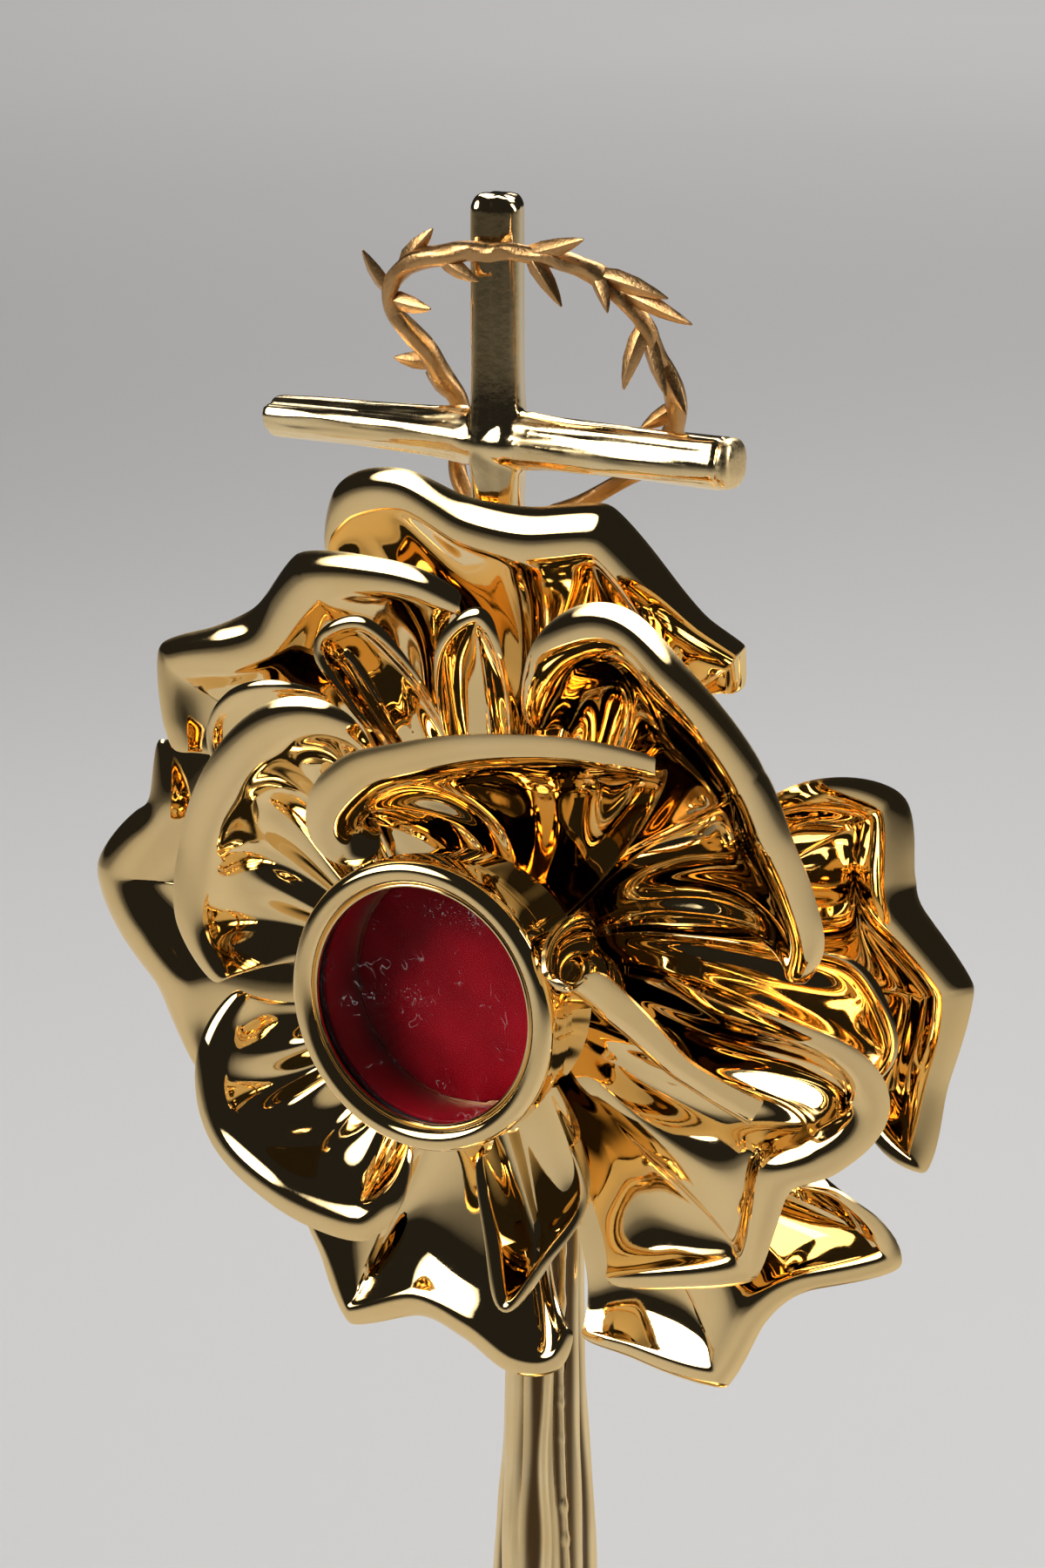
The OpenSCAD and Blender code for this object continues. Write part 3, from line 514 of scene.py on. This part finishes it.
def foldHeight(p, folds, phase, u, j, place):
    s = (j - 2) / p["bowlRows"]  # 0 at the root's bend and 1 at the rim
    if s <= 0:
        return 0
    ends = smoothEase(min(u, 1 - u) * 7)
    middle = smoothEase(s * 1.7) * (1 - smoothEase((s - 0.62) / 0.5))
    wave = math.sin(2 * math.pi * (folds[0] * u + 0.12 * math.sin(7 * u + phase)) + phase + 1.2 * s)
    high = folds[1] * wave * middle * ends
    dent = p["dent"] * noise.noise(place / p["dentSize"]) * smoothEase(s * 2) * smoothEase((1.4 - s) * 2)
    return high + dent


def makePetal(p, name):
    seatName, bowlName, lip, root, folds, ends, rim = p["petals"][name]
    seat, bowl = p["seats"][seatName], p["bowls"][bowlName]
    rows = 2 + p["bowlRows"] + p["lipRows"] + 1
    n = p["columnsPerSpan"] * (len(rim) - 1) + 1
    sheet = [petalColumn(p, seat, bowl, lip, root, ends, rim, i / (n - 1)) for i in range(n)]
    startFresh()
    bpy.ops.mesh.primitive_grid_add(x_subdivisions=n - 1, y_subdivisions=rows - 1, size=1)
    piece = bpy.context.object
    wear = piece.data.attributes.new("rimWear", "FLOAT", "POINT")
    for v in piece.data.vertices:
        i = round((v.co.x + 0.5) * (n - 1))
        j = round((v.co.y + 0.5) * (rows - 1))
        here = sheet[i][j]
        across = sheet[min(i + 1, n - 1)][j] - sheet[max(i - 1, 0)][j]
        up = sheet[i][min(j + 1, rows - 1)] - sheet[i][max(j - 1, 0)]
        out = up.cross(across).normalized()
        v.co = onRose(here + foldHeight(p, folds, root[0] / 20, i / (n - 1), j, here) * out)
        edge = min(i, n - 1 - i, rows - 1 - j)
        wear.data[v.index].value = max(0, 1 - edge / 2) if j > 1 else 0
    bpy.ops.object.mode_set(mode="EDIT")
    bpy.ops.mesh.select_all(action="SELECT")
    bpy.ops.mesh.flip_normals()
    bpy.ops.object.mode_set(mode="OBJECT")
    planish = piece.modifiers.new("planish", "SMOOTH")
    planish.factor = 0.5
    planish.iterations = 3
    wall = piece.modifiers.new("wall", "SOLIDIFY")
    wall.thickness = p["sheet"] * mm
    wall.offset = -1
    applyAll(piece)
    bpy.ops.object.shade_smooth_by_angle(angle=math.radians(50))
    handOver(piece, name.replace("petal", "rosePetal"), "reliquary", "polished_gold", name)


for petalName in petalSet["petals"]:
    makePetal(petalSet, petalName)
print("petals:", len(petalSet["petals"]))

# capsule: cup on its neck, liner, gasket, glass and the screw bezel, all turned on the rose's axis
capsuleSet = {
    "steps": 160,
    "cup": [(0, 3.5), (4, 3.5), (4, 13), (9.3, 13), (9.3, 18.5), (9.8, 19.6), (10.8, 20), (18.6, 20),
            (19.2, 20.6), (19.2, 31.7), (18, 31.7), (18, 21.5), (0, 21.5)],
    "liner": [(17.9, 22.7), (17.9, 31.4), (17.3, 31.4), (17.3, 22.7)],
    "gasket": [(17.6, 31.72), (18.95, 31.72), (18.95, 32.48), (17.6, 32.48)],
    "glass": [(0, 32.5), (19, 32.5), (19, 34.4), (0, 34.4)],
    "bezelSide": [(19.28, 28), (20.1, 28), (20.2, 28.1), (20.2, 29.1), (19.95, 29.25), (19.95, 29.6),
                  (20.55, 29.8), (20.65, 29.95), (20.65, 30.6), (20.45, 30.75), (20.45, 30.9),
                  (20.9, 31.15)],
    "bezelRound": (19.3, 34.3, 1.7),  # middle of the round front and its radius
    "bezelInside": [(17.5, 34.85), (17.32, 34.95), (17.1, 34.88), (17, 34.72), (17, 34.41), (19.28, 34.41)],
    "rings": [  # outline, softened edge, piece, body, slot, node
        ("cup", 0.2, "capsuleCup", "reliquary", "polished_gold", "capsule_cup"),
        ("liner", 0.12, "linerRing", "reliquary", "red_silk", "liner_ring"),
        ("gasket", 0.1, "glassGasket", "glass_pack", "rubber", "gasket"),
        ("glass", 0.15, "windowGlass", "glass_pack", "clear_glass", "glass"),
    ],
}


def makeCapsule(c):
    for outline, edge, *labels in c["rings"]:
        ring = lathe(c[outline], c["steps"], "rose")
        softenEdges(ring, edge)
        handOver(ring, *labels)
    r, f, size = c["bezelRound"]
    turns = [math.radians(t) for t in range(-30, 176, 9)]
    front = [(r + size * math.cos(t), f + size * math.sin(t)) for t in turns]
    bezel = lathe(c["bezelSide"] + front + c["bezelInside"], c["steps"], "rose")
    pick(bezel)
    bpy.ops.object.shade_smooth_by_angle(angle=math.radians(33))
    handOver(bezel, "screwBezel", "bezel_ring", "polished_gold", "bezel")


makeCapsule(capsuleSet)
print("capsule: cup, liner, gasket, glass and bezel")

# silk pad: a crowned disc, swelled a little by cloth pressure and slightly gathered at its edge
silkSet = {
    "radius": 16.9, "foot": 22.75, "edge": 1.0, "rise": 1.2, "domeSteps": 12, "around": 72, "voxel": 0.7,
    "held": 0.4,  # how far up the underside is held
    "pressure": 4, "frames": 20, "mostMove": 0.5,
    "gather": 0.04, "gathers": 46, "gatherFrom": 11, "gatherOver": 5,
    "side": 0.6,  # only what is higher than this over the foot is gathered and rippled
    "sink": 0.1, "ripple": 0.12, "rippleSize": 5,
    "room": 0.2,  # how far past its radius the silk may reach
}


def makeSilk(k):
    n = k["domeSteps"]
    dome = [(k["radius"] * (1 - t / n), k["foot"] + k["edge"] + k["rise"] * math.sin(math.pi / 2 * t / n))
            for t in range(n + 1)]
    pad = lathe([(0, k["foot"]), (k["radius"], k["foot"])] + dome, k["around"], "rose")
    remesh = pad.modifiers.new("voxels", "REMESH")
    remesh.mode = "VOXEL"
    remesh.voxel_size = k["voxel"] * mm
    applyAll(pad)
    start = [v.co.copy() for v in pad.data.vertices]
    held = pad.vertex_groups.new(name="held")
    low = -(k["foot"] + k["held"]) * mm
    held.add([v.index for v in pad.data.vertices if v.co.y > low], 1, "ADD")
    cloth = pad.modifiers.new("silk", "CLOTH")
    cloth.settings.use_pressure = True
    cloth.settings.uniform_pressure_force = k["pressure"]
    cloth.settings.vertex_group_mass = "held"
    cloth.settings.effector_weights.gravity = 0
    for step in range(1, k["frames"] + 1):
        bpy.context.scene.frame_set(step)
    applyAll(pad)
    bpy.context.scene.frame_set(1)
    for v, was in zip(pad.data.vertices, start):
        move = v.co - was
        if move.length > k["mostMove"] * mm:
            v.co = was + move.normalized() * k["mostMove"] * mm
    finer = pad.modifiers.new("finer", "SUBSURF")
    finer.levels = finer.render_levels = 1
    applyAll(pad)
    most = k["radius"] + k["room"]
    for v in pad.data.vertices:  # the silk is gathered a little at its edge, and stays inside the liner
        x, z = v.co.x / mm, (v.co.z - roseHeight) / mm
        out = math.hypot(x, z)
        a = math.atan2(z, x)
        fold = math.sin(k["gathers"] * a + 3 * math.sin(5 * a)) * k["gather"]
        fold *= smoothEase((out - k["gatherFrom"]) / k["gatherOver"])
        ripple = k["ripple"] * noise.noise(Vector((x / k["rippleSize"], z / k["rippleSize"], 0)))
        if v.co.y < -(k["foot"] + k["side"]) * mm:
            v.co.y -= (fold - k["sink"] + ripple) * mm
        if out > most:
            v.co.x *= most / out
            v.co.z = roseHeight + (v.co.z - roseHeight) * most / out
        v.co.y = min(v.co.y, -k["foot"] * mm)
    pick(pad)
    bpy.ops.object.shade_smooth()
    handOver(pad, "silkPad", "reliquary", "red_silk", "silk_pad")


makeSilk(silkSet)
print("silk pad: done")


# bark pieces: a grid is wrapped into a tube, and its seam and ends are merged
def wrapTube(around, rows, put, ring=False):
    startFresh()
    last = rows if ring else rows - 1
    bpy.ops.mesh.primitive_grid_add(x_subdivisions=around, y_subdivisions=last, size=1)
    tube = bpy.context.object
    for v in tube.data.vertices:
        k = round((v.co.x + 0.5) * around) % around
        j = round((v.co.y + 0.5) * last) % rows
        v.co = put(2 * math.pi * k / around, j)
    bpy.ops.object.mode_set(mode="EDIT")
    bpy.ops.mesh.select_all(action="SELECT")
    bpy.ops.mesh.remove_doubles(threshold=weld)
    bpy.ops.mesh.normals_make_consistent(inside=False)
    bpy.ops.object.mode_set(mode="OBJECT")
    return tube


def barkNoise(a, along, lumps, stretch):
    return noise.noise(Vector((lumps * math.cos(a), lumps * math.sin(a), along / stretch)))


# stem: flowing bark ridges, grooves between them whose near-black colour is painted dark reflection, and a
# thin knotted seam down its right side
stemSet = {
    "foot": 26, "high": 138, "footRadius": 10.5, "topRadius": 5.2, "groove": 1.5,
    "flare": 1.6, "swell": 0.25, "around": 240, "rows": 260,
    "ridges": [  # angle, half width in degrees, height
        (-112, 17, 1.5), (-84, 8, 0.8), (-66, 7, 1.1), (-46, 6, 0.7), (-8, 8, 0.9), (14, 12, 1.3),
        (48, 9, 1.0), (90, 18, 1.5), (135, 10, 1.0), (175, 16, 1.4), (218, 9, 1.1)],
    "seam": (-29, 5, 1.5),  # the same
}


def stemBark(k, a, z):  # height of the bark over its grooves, and of the seam
    a = math.degrees(a)
    slim = 1 - 0.4 * z / k["high"]
    high = 0
    for i, (angle, wide, tall) in enumerate(k["ridges"]):
        off = a - angle - 9 * math.sin(z / 27 + 2.3 * i) - 7 * noise.noise(Vector((z / 19, 3 * i, 0)))
        off = (off + 180) % 360 - 180
        swell = 0.85 + 0.3 * noise.noise(Vector((z / 15, 5 * i, 4)))
        high = max(high, tall * swell * math.exp(-abs(off / wide) ** 2.6))
    angle, wide, tall = k["seam"]
    off = (a - angle - 6 * math.sin(z / 19) + 180) % 360 - 180
    knot = max(noise.noise(Vector((z / 4.5, 7, 0))) + 0.4 * noise.noise(Vector((z / 1.8, 2, 0))), 0)
    seam = tall * (0.55 + 0.5 * knot) * math.exp(-(off / (wide * (0.9 + 0.6 * knot))) ** 2)
    return slim * high, slim * seam


def makeStem(k):
    def put(a, j):
        s = min(max((j - 2) / (k["rows"] - 5), 0), 1)
        z = s * k["high"]
        r = k["footRadius"] + (k["topRadius"] - k["footRadius"]) * s + k["flare"] * (1 - s) ** 12
        r += k["swell"] * math.sin(math.radians(900 * s))
        bark, seam = stemBark(k, a, z)
        r += max(bark, seam) - k["groove"] * (1 - 0.4 * s)
        r += 0.14 * barkNoise(a, z, 5, 14) + 0.12 * barkNoise(a, z, 12, 60)
        end = min(j, k["rows"] - 1 - j)
        r *= (0, 0.93, 1)[min(end, 2)]
        return Vector((r * math.cos(a) * mm, r * math.sin(a) * mm, (k["foot"] + z) * mm))

    stem = wrapTube(k["around"], k["rows"], put)
    grain = stem.data.attributes.new("barkGrain", "FLOAT", "POINT")
    groove = stem.data.attributes.new("paintedGrooveDark", "FLOAT", "POINT")
    for v in stem.data.vertices:
        a, z = math.atan2(v.co.y, v.co.x), v.co.z / mm - k["foot"]
        bark, seam = stemBark(k, a, z)
        grain.data[v.index].value = max(0.35 + 0.5 * barkNoise(a, z, 9, 9), min(seam * 1.5, 1))
        # mask for the painted dark reflection: 1 deep in the grooves, falling to 0 on the ridges and the
        # seam
        groove.data[v.index].value = 1 - smoothEase(max(bark, seam) * 1.6)
    pick(stem)
    bpy.ops.object.shade_smooth_by_angle(angle=math.radians(60))
    handOver(stem, "barkStem", "reliquary", "bark_gold", "stem")


makeStem(stemSet)

# cross: two logs run into each other with a soft fillet
crossSet = {
    "side": -4, "forward": 6.5, "foot": 247, "high": 52, "uprightRadius": 4, "armHeight": 264.7,
    "armLong": 76, "armRadii": (3, 3.6, 3.9), "voxel": 0.25,
    "around": 40, "uprightRows": 69, "armRows": 99, "endRows": 4,  # the rows that round off each end
}


def makeCross(k):
    x0, y0 = k["side"], -k["forward"]
    most = k["endRows"]

    def alongLog(j, rows):  # from 0 to 1 between the rounded ends, and the row's count from the nearer end
        return min(max((j - most) / (rows - 1 - 2 * most), 0), 1), min(j, rows - 1 - j, most)

    def hewn(a, turn, flat):  # a log hewn towards a square
        return (abs(math.cos(a - turn)) ** flat + abs(math.sin(a - turn)) ** flat) ** (-1 / flat)

    def putUpright(a, j):
        s, end = alongLog(j, k["uprightRows"])
        fromArm = k["foot"] + s * k["high"] - k["armHeight"]
        r = k["uprightRadius"] - 0.45 - 0.1 * s + 0.5 * math.exp(-(fromArm / 6) ** 2)
        r *= hewn(a, 0.35, 3.6) * (0, 0.45, 0.76, 0.9, 1)[end]
        z = k["foot"] + s * (k["high"] - 1.7)
        if s > 0.5:
            z += (1.7, 1.7, 1.5, 0.9, 0)[end]
        return Vector(((x0 + r * math.cos(a)) * mm, (y0 + r * math.sin(a)) * mm, z * mm))

    def putArm(a, j):
        s, end = alongLog(j, k["armRows"])
        left, mid, right = k["armRadii"]
        r = (left + (mid - left) * 2 * s if s < 0.5 else mid + (right - mid) * (2 * s - 1)) - 0.2
        r += 0.9 * math.exp(-((s - 0.5) * k["armLong"] / 6.5) ** 2)
        r *= hewn(a, 0.5 + s, 2.5) * (0, 0.5, 0.8, 0.93, 1)[end]
        x = x0 + (s - 0.5) * (k["armLong"] - 2.4)
        x += (1.2, 1.15, 0.9, 0.5, 0)[end] * (1 if s > 0.5 else -1)
        return Vector((x * mm, (y0 + r * math.cos(a)) * mm, (k["armHeight"] + r * math.sin(a)) * mm))

    upright = wrapTube(k["around"], k["uprightRows"], putUpright)
    arm = wrapTube(k["around"], k["armRows"], putArm)
    pick(upright)
    arm.select_set(True)
    bpy.ops.object.join()
    cross = bpy.context.object
    remesh = cross.modifiers.new("fuse", "REMESH")
    remesh.mode = "VOXEL"
    remesh.voxel_size = k["voxel"] * mm
    ease = cross.modifiers.new("ease", "SMOOTH")
    ease.factor = 0.5
    ease.iterations = 9
    applyAll(cross)
    grain = cross.data.attributes.new("barkGrain", "FLOAT", "POINT")
    outward = [v.normal.copy() for v in cross.data.vertices]
    for v, way in zip(cross.data.vertices, outward):
        x, y, z = v.co.x / mm - x0, v.co.y / mm - y0, v.co.z / mm - k["armHeight"]
        onArm = smoothEase((abs(x) - 3) / 3)
        aArm, aUp = math.atan2(z, y), math.atan2(y, x)
        relief = onArm * (0.5 * barkNoise(aArm, x, 1.4, 26) + 0.12 * barkNoise(aArm, x, 5, 9))
        relief += (1 - onArm) * (0.3 * barkNoise(aUp, z, 1.5, 60) + 0.05 * barkNoise(aUp, z, 5, 16))
        relief *= smoothEase(math.hypot(y, z) / 2.5) if onArm > 0.5 else smoothEase(math.hypot(x, y) / 2.5)
        streak = onArm * barkNoise(aArm, x, 9, 6) + (1 - onArm) * barkNoise(aUp, z, 7, 30)
        cap = x - k["armLong"] / 2 + 2.3
        sawn = smoothEase(cap * 3)
        relief = relief * (1 - sawn) - 0.3 * math.exp(-(cap / 0.3) ** 2) - 0.15 * sawn
        near = math.exp(-(math.hypot(x, z) / 8) ** 2) * onArm
        pit = noise.noise(Vector((x, y, z)) * 1.6)
        v.co += way * (relief - 0.1 * max(pit - 0.35, 0) * (0.3 * onArm + 4 * near)) * mm
        rough = 0.3 + 0.2 * onArm + (0.3 + 0.25 * onArm) * streak + 0.45 * near
        grain.data[v.index].value = min(max(rough, 0.8 * sawn + 0.4 * sawn * pit), 1)
    pick(cross)
    bpy.ops.object.shade_smooth_by_angle(angle=math.radians(50))
    handOver(cross, "logCross", "reliquary", "bark_gold", "cross_upright", "cross_arm")


makeCross(crossSet)
print("bark pieces: stem and cross")

# crown: a twig bent into a ring on the cross, with lance-shaped thorns, cast as one
crownSet = {
    "side": -4, "height": 264.7, "back": -0.9, "front": 12.1, "twig": 1.4, "thorn": 1.35,
    "wander": 0.45, "seed": 3, "around": 20, "rows": 320,
    "lance": [(-0.06, 0), (-0.06, 0.75), (0.25, 1.1), (0.55, 0.95), (0.82, 0.55), (0.97, 0.2), (1.02, 0)],
    "path": [  # sideways from the upright, from behind 0 to in front 1, above the arm
        (2, 1, 27), (-5, 0.98, 26.5), (-12, 0.9, 24), (-16, 0.8, 19.5), (-14, 0.6, 14.5), (-12, 0.35, 9.5),
        (-10, 0.1, 3.5), (-11, 0, -6.5), (-7, 0, -12.5), (-1, 0, -14), (5, 0, -11.5), (14, 0, -7),
        (22, 0, -1), (24.5, 0.05, 3.5), (25, 0.3, 10.5), (24, 0.55, 16), (22, 0.7, 21), (18.5, 0.85, 24.5),
        (14, 0.95, 26.5), (8, 1, 27.5)],
    "thorns": [  # place along the ring, reach sideways, forward and up
        (0.145, -3, 1.5, 6), (0.105, 5, 1.5, 6), (0.16, 8, 1.5, 0), (0.06, 7, 1.5, -3),
        (0.95, 10, 1.5, 2.5), (0.945, 5, 1.5, -7), (0.86, 3, 1.5, -5), (0.855, 11, 1, -2),
        (0.82, 12, 1, -3), (0.77, -2, 2, -9), (0.755, 3.5, 1, -8), (0.72, 4, 1.5, -7),
        (0.25, -6, 1, 0.5), (0.29, -6, -1, 2), (0.67, -4.5, 1, -4), (0.46, 5, -2, -2)],
}


def twigAt(k, u):
    path = k["path"]
    n = len(path)
    w = (u % 1) * n
    i = int(w) % n
    s = w - int(w)
    before, b, c, after = (Vector(path[(i + d) % n]) for d in (-1, 0, 1, 2))
    p = bezier(b, b + (c - before) / 6, c - (after - b) / 6, c, s)
    return Vector((k["side"] + p[0], -(k["back"] + (k["front"] - k["back"]) * p[1]), k["height"] + p[2]))


def makeCrown(k):
    rows = k["rows"]
    noise.seed_set(k["seed"])  # without a seed, noise_vector starts from the clock

    def put(a, j):
        u = j / rows
        trip = min(u, 1 - u)  # there and back, so that the ring closes without a step
        here = twigAt(k, u)
        along = (twigAt(k, u + 0.003) - twigAt(k, u - 0.003)).normalized()
        side = along.cross(Vector((0.3, 1, 0.2))).normalized()
        up = side.cross(along)
        here += k["wander"] * noise.noise_vector(Vector((trip * 22, 0, 0)))
        r = k["twig"] * (1 + 0.12 * math.sin(2 * math.pi * 5 * u) + 0.22 * barkNoise(a, trip * 150, 1.5, 5))
        return (here + r * (math.cos(a) * side + math.sin(a) * up)) * mm

    crown = wrapTube(k["around"], rows, put, ring=True)
    thorns = []
    for i, (u, *reach) in enumerate(k["thorns"]):
        root = twigAt(k, u)
        way = Vector((reach[0], -reach[1], reach[2]))
        wide = way.cross(Vector((0.2 * (-1) ** i, 1, 0))).normalized()
        thin = way.normalized().cross(wide)

        def putThorn(a, j):  # a flat lance with a ridge down both sides
            t, size = k["lance"][j]
            x, y = k["thorn"] * size * math.cos(a), 0.62 * k["thorn"] * size * math.sin(a)
            bent = root + way * t + (0.5 - i % 2) * thin * t * t
            return (bent + wide * (x + 0.3 * math.sin(3 * t + i)) + thin * y) * mm

        thorns.append(wrapTube(4, len(k["lance"]), putThorn))
        softenEdges(thorns[-1], 0.1, 2, 15)
    pick(crown)
    for thorn in thorns:
        thorn.select_set(True)
    bpy.ops.object.join()
    bpy.ops.object.shade_smooth_by_angle(angle=math.radians(34))
    handOver(crown, "thornCrown", "reliquary", "satin_gold", "crown_of_thorns")


makeCrown(crownSet)
print("crown: twig and", len(crownSet["thorns"]), "thorns")

# foot: a turned shell on felt
footSet = {
    "steps": 200, "domeSteps": 5, "neckSteps": 6, "feltSteps": 160,
    "flange": [(0, 2), (54.2, 2), (54.8, 2.3), (55, 2.9), (55, 5.1), (54.7, 5.9), (54, 6.4),
               (53, 6.6), (51.6, 6.6)],
    "dome": [(51.2, 7.1), (47, 8.5), (42.3, 10.4), (37.6, 12.7), (34, 15)],
    "bead": [(33.7, 15.6), (33.2, 16.05), (32.5, 16.2), (31.8, 16), (31.4, 15.6)],
    "neck": [(31, 15.7), (26.5, 16.2), (21.8, 17.7), (18, 20), (16.3, 22)],
    "collar": [(16.2, 22.6), (16.5, 23.1), (16.4, 23.7), (15.8, 24.1), (14.8, 24.2), (14.2, 24.5),
               (13.7, 25.2), (13.4, 25.8), (12.9, 26), (0, 26)],
    "satin": [(16.8, 30.6), (34.5, 50.8)],  # from and to, as radii
    "felt": [(0, 0), (53.4, 0), (53.9, 0.4), (54, 1), (54, 2), (0, 2)],
}


def easeLine(points, steps):  # a smooth line through a few points
    made = []
    last = len(points) - 1
    for i in range(last):
        before, b, c, after = (Vector((*points[min(max(i + d, 0), last)], 0)) for d in (-1, 0, 1, 2))
        for t in range(steps):
            made.append(tuple(bezier(b, b + (c - before) / 6, c - (after - b) / 6, c, t / steps))[:2])
    return made + [points[-1]]


def makeFoot(k):
    line = k["flange"] + easeLine(k["dome"], k["domeSteps"]) + k["bead"]
    line += easeLine(k["neck"], k["neckSteps"]) + k["collar"]
    foot = lathe(line, k["steps"], "floor")
    pick(foot)
    bpy.ops.object.shade_smooth_by_angle(angle=math.radians(35))
    band = foot.data.attributes.new("satinBand", "FLOAT", "POINT")
    for v in foot.data.vertices:
        r = math.hypot(v.co.x, v.co.y) / mm
        band.data[v.index].value = any(low < r < high for low, high in k["satin"])
    handOver(foot, "turnedFoot", "reliquary", "polished_gold", "foot_shell")
    foot.data.materials[0] = spunGold()
    felt = lathe(k["felt"], k["feltSteps"], "floor")
    pick(felt)
    bpy.ops.object.shade_smooth_by_angle(angle=math.radians(35))
    handOver(felt, "feltPad", "reliquary", "felt", "foot_felt")


makeFoot(footSet)

# hub, bracket, screws and post behind the rose
hubSet = {
    "steps": 160,
    "line": [(0, 2.5), (24, 2.5), (24, 8), (17.5, 8), (17.5, 10.5), (13.2, 10.5), (13.2, 13), (0, 13)],
    "bracket": {"sides": 96, "radius": 5.2, "low": 164, "high": 204, "flat": 2.5},
    "screw": {"places": {"hub_screw_upper": 199.5, "hub_screw_lower": 180.5}, "head": 2.7, "back": 5.0,
              "deep": 1.6, "slot": 0.7, "sides": 48},
    "post": {"side": -4, "forward": 5.25, "radius": 1.8, "low": 213, "high": 255, "sides": 64},
}


def makeRod(sides, radius, long, place, turned=(0, 0, 0)):  # a plain rod, with its sizes and place in mm
    startFresh()
    bpy.ops.mesh.primitive_cylinder_add(vertices=sides, radius=radius * mm, depth=long * mm,
                                        location=[c * mm for c in place], rotation=turned)
    bpy.ops.object.transform_apply(location=True, rotation=True, scale=False)
    return bpy.context.object


def makeHub(k):
    hub = lathe(k["line"], k["steps"], "rose")
    softenEdges(hub, 0.3)
    handOver(hub, "roseHub", "reliquary", "polished_gold", "hub")
    b = k["bracket"]
    bracket = makeRod(b["sides"], b["radius"], b["high"] - b["low"], (0, 0, (b["high"] + b["low"]) / 2))
    bpy.ops.object.mode_set(mode="EDIT")
    bpy.ops.mesh.select_all(action="SELECT")
    front = (0, -b["flat"] * mm, 0)
    bpy.ops.mesh.bisect(plane_co=front, plane_no=(0, -1, 0), use_fill=True, clear_outer=True)
    bpy.ops.object.mode_set(mode="OBJECT")
    softenEdges(bracket, 0.5, 4)
    handOver(bracket, "hubBracket", "reliquary", "polished_gold", "hub_bracket")
    c = k["screw"]
    for node, z in c["places"].items():
        screw = makeRod(c["sides"], c["head"], c["deep"], (0, c["back"] + 0.2, z), (math.pi / 2, 0, 0))
        softenEdges(screw, 0.4, 4)
        bpy.ops.mesh.primitive_cube_add(size=1, location=(0, (c["back"] + 1.0) * mm, z * mm),
                                        rotation=(0, math.radians(z * 3), 0))
        cutter = bpy.context.object
        cutter.scale = (8 * mm, 1.0 * mm, c["slot"] * mm)
        bpy.ops.object.transform_apply(location=True, rotation=True, scale=True)
        cut = screw.modifiers.new("slot", "BOOLEAN")
        cut.operation = "DIFFERENCE"
        cut.object = cutter
        applyAll(screw)
        bpy.data.objects.remove(cutter)
        bpy.ops.object.shade_smooth_by_angle(angle=math.radians(35))
        handOver(screw, node.replace("hub_screw_", "slottedScrew_"), "reliquary", "steel", node)
    t = k["post"]
    middle = (t["side"], -t["forward"], (t["high"] + t["low"]) / 2)
    post = makeRod(t["sides"], t["radius"], t["high"] - t["low"], middle)
    softenEdges(post, 0.2)
    handOver(post, "crossPost", "reliquary", "polished_gold", "cross_post")


makeHub(hubSet)
print("foot and hub: done")

# what stays as packed is out of sight inside the foot, the stem and the cup
for nodeName, slotName in {
    "foot_weight": "iron", "foot_washer": "steel", "foot_nut": "steel", "tie_rod": "steel",
    "backing_disc": "polished_gold",
}.items():
    nodes[nodeName].data.materials.clear()
    nodes[nodeName].data.materials.append(finish[slotName])
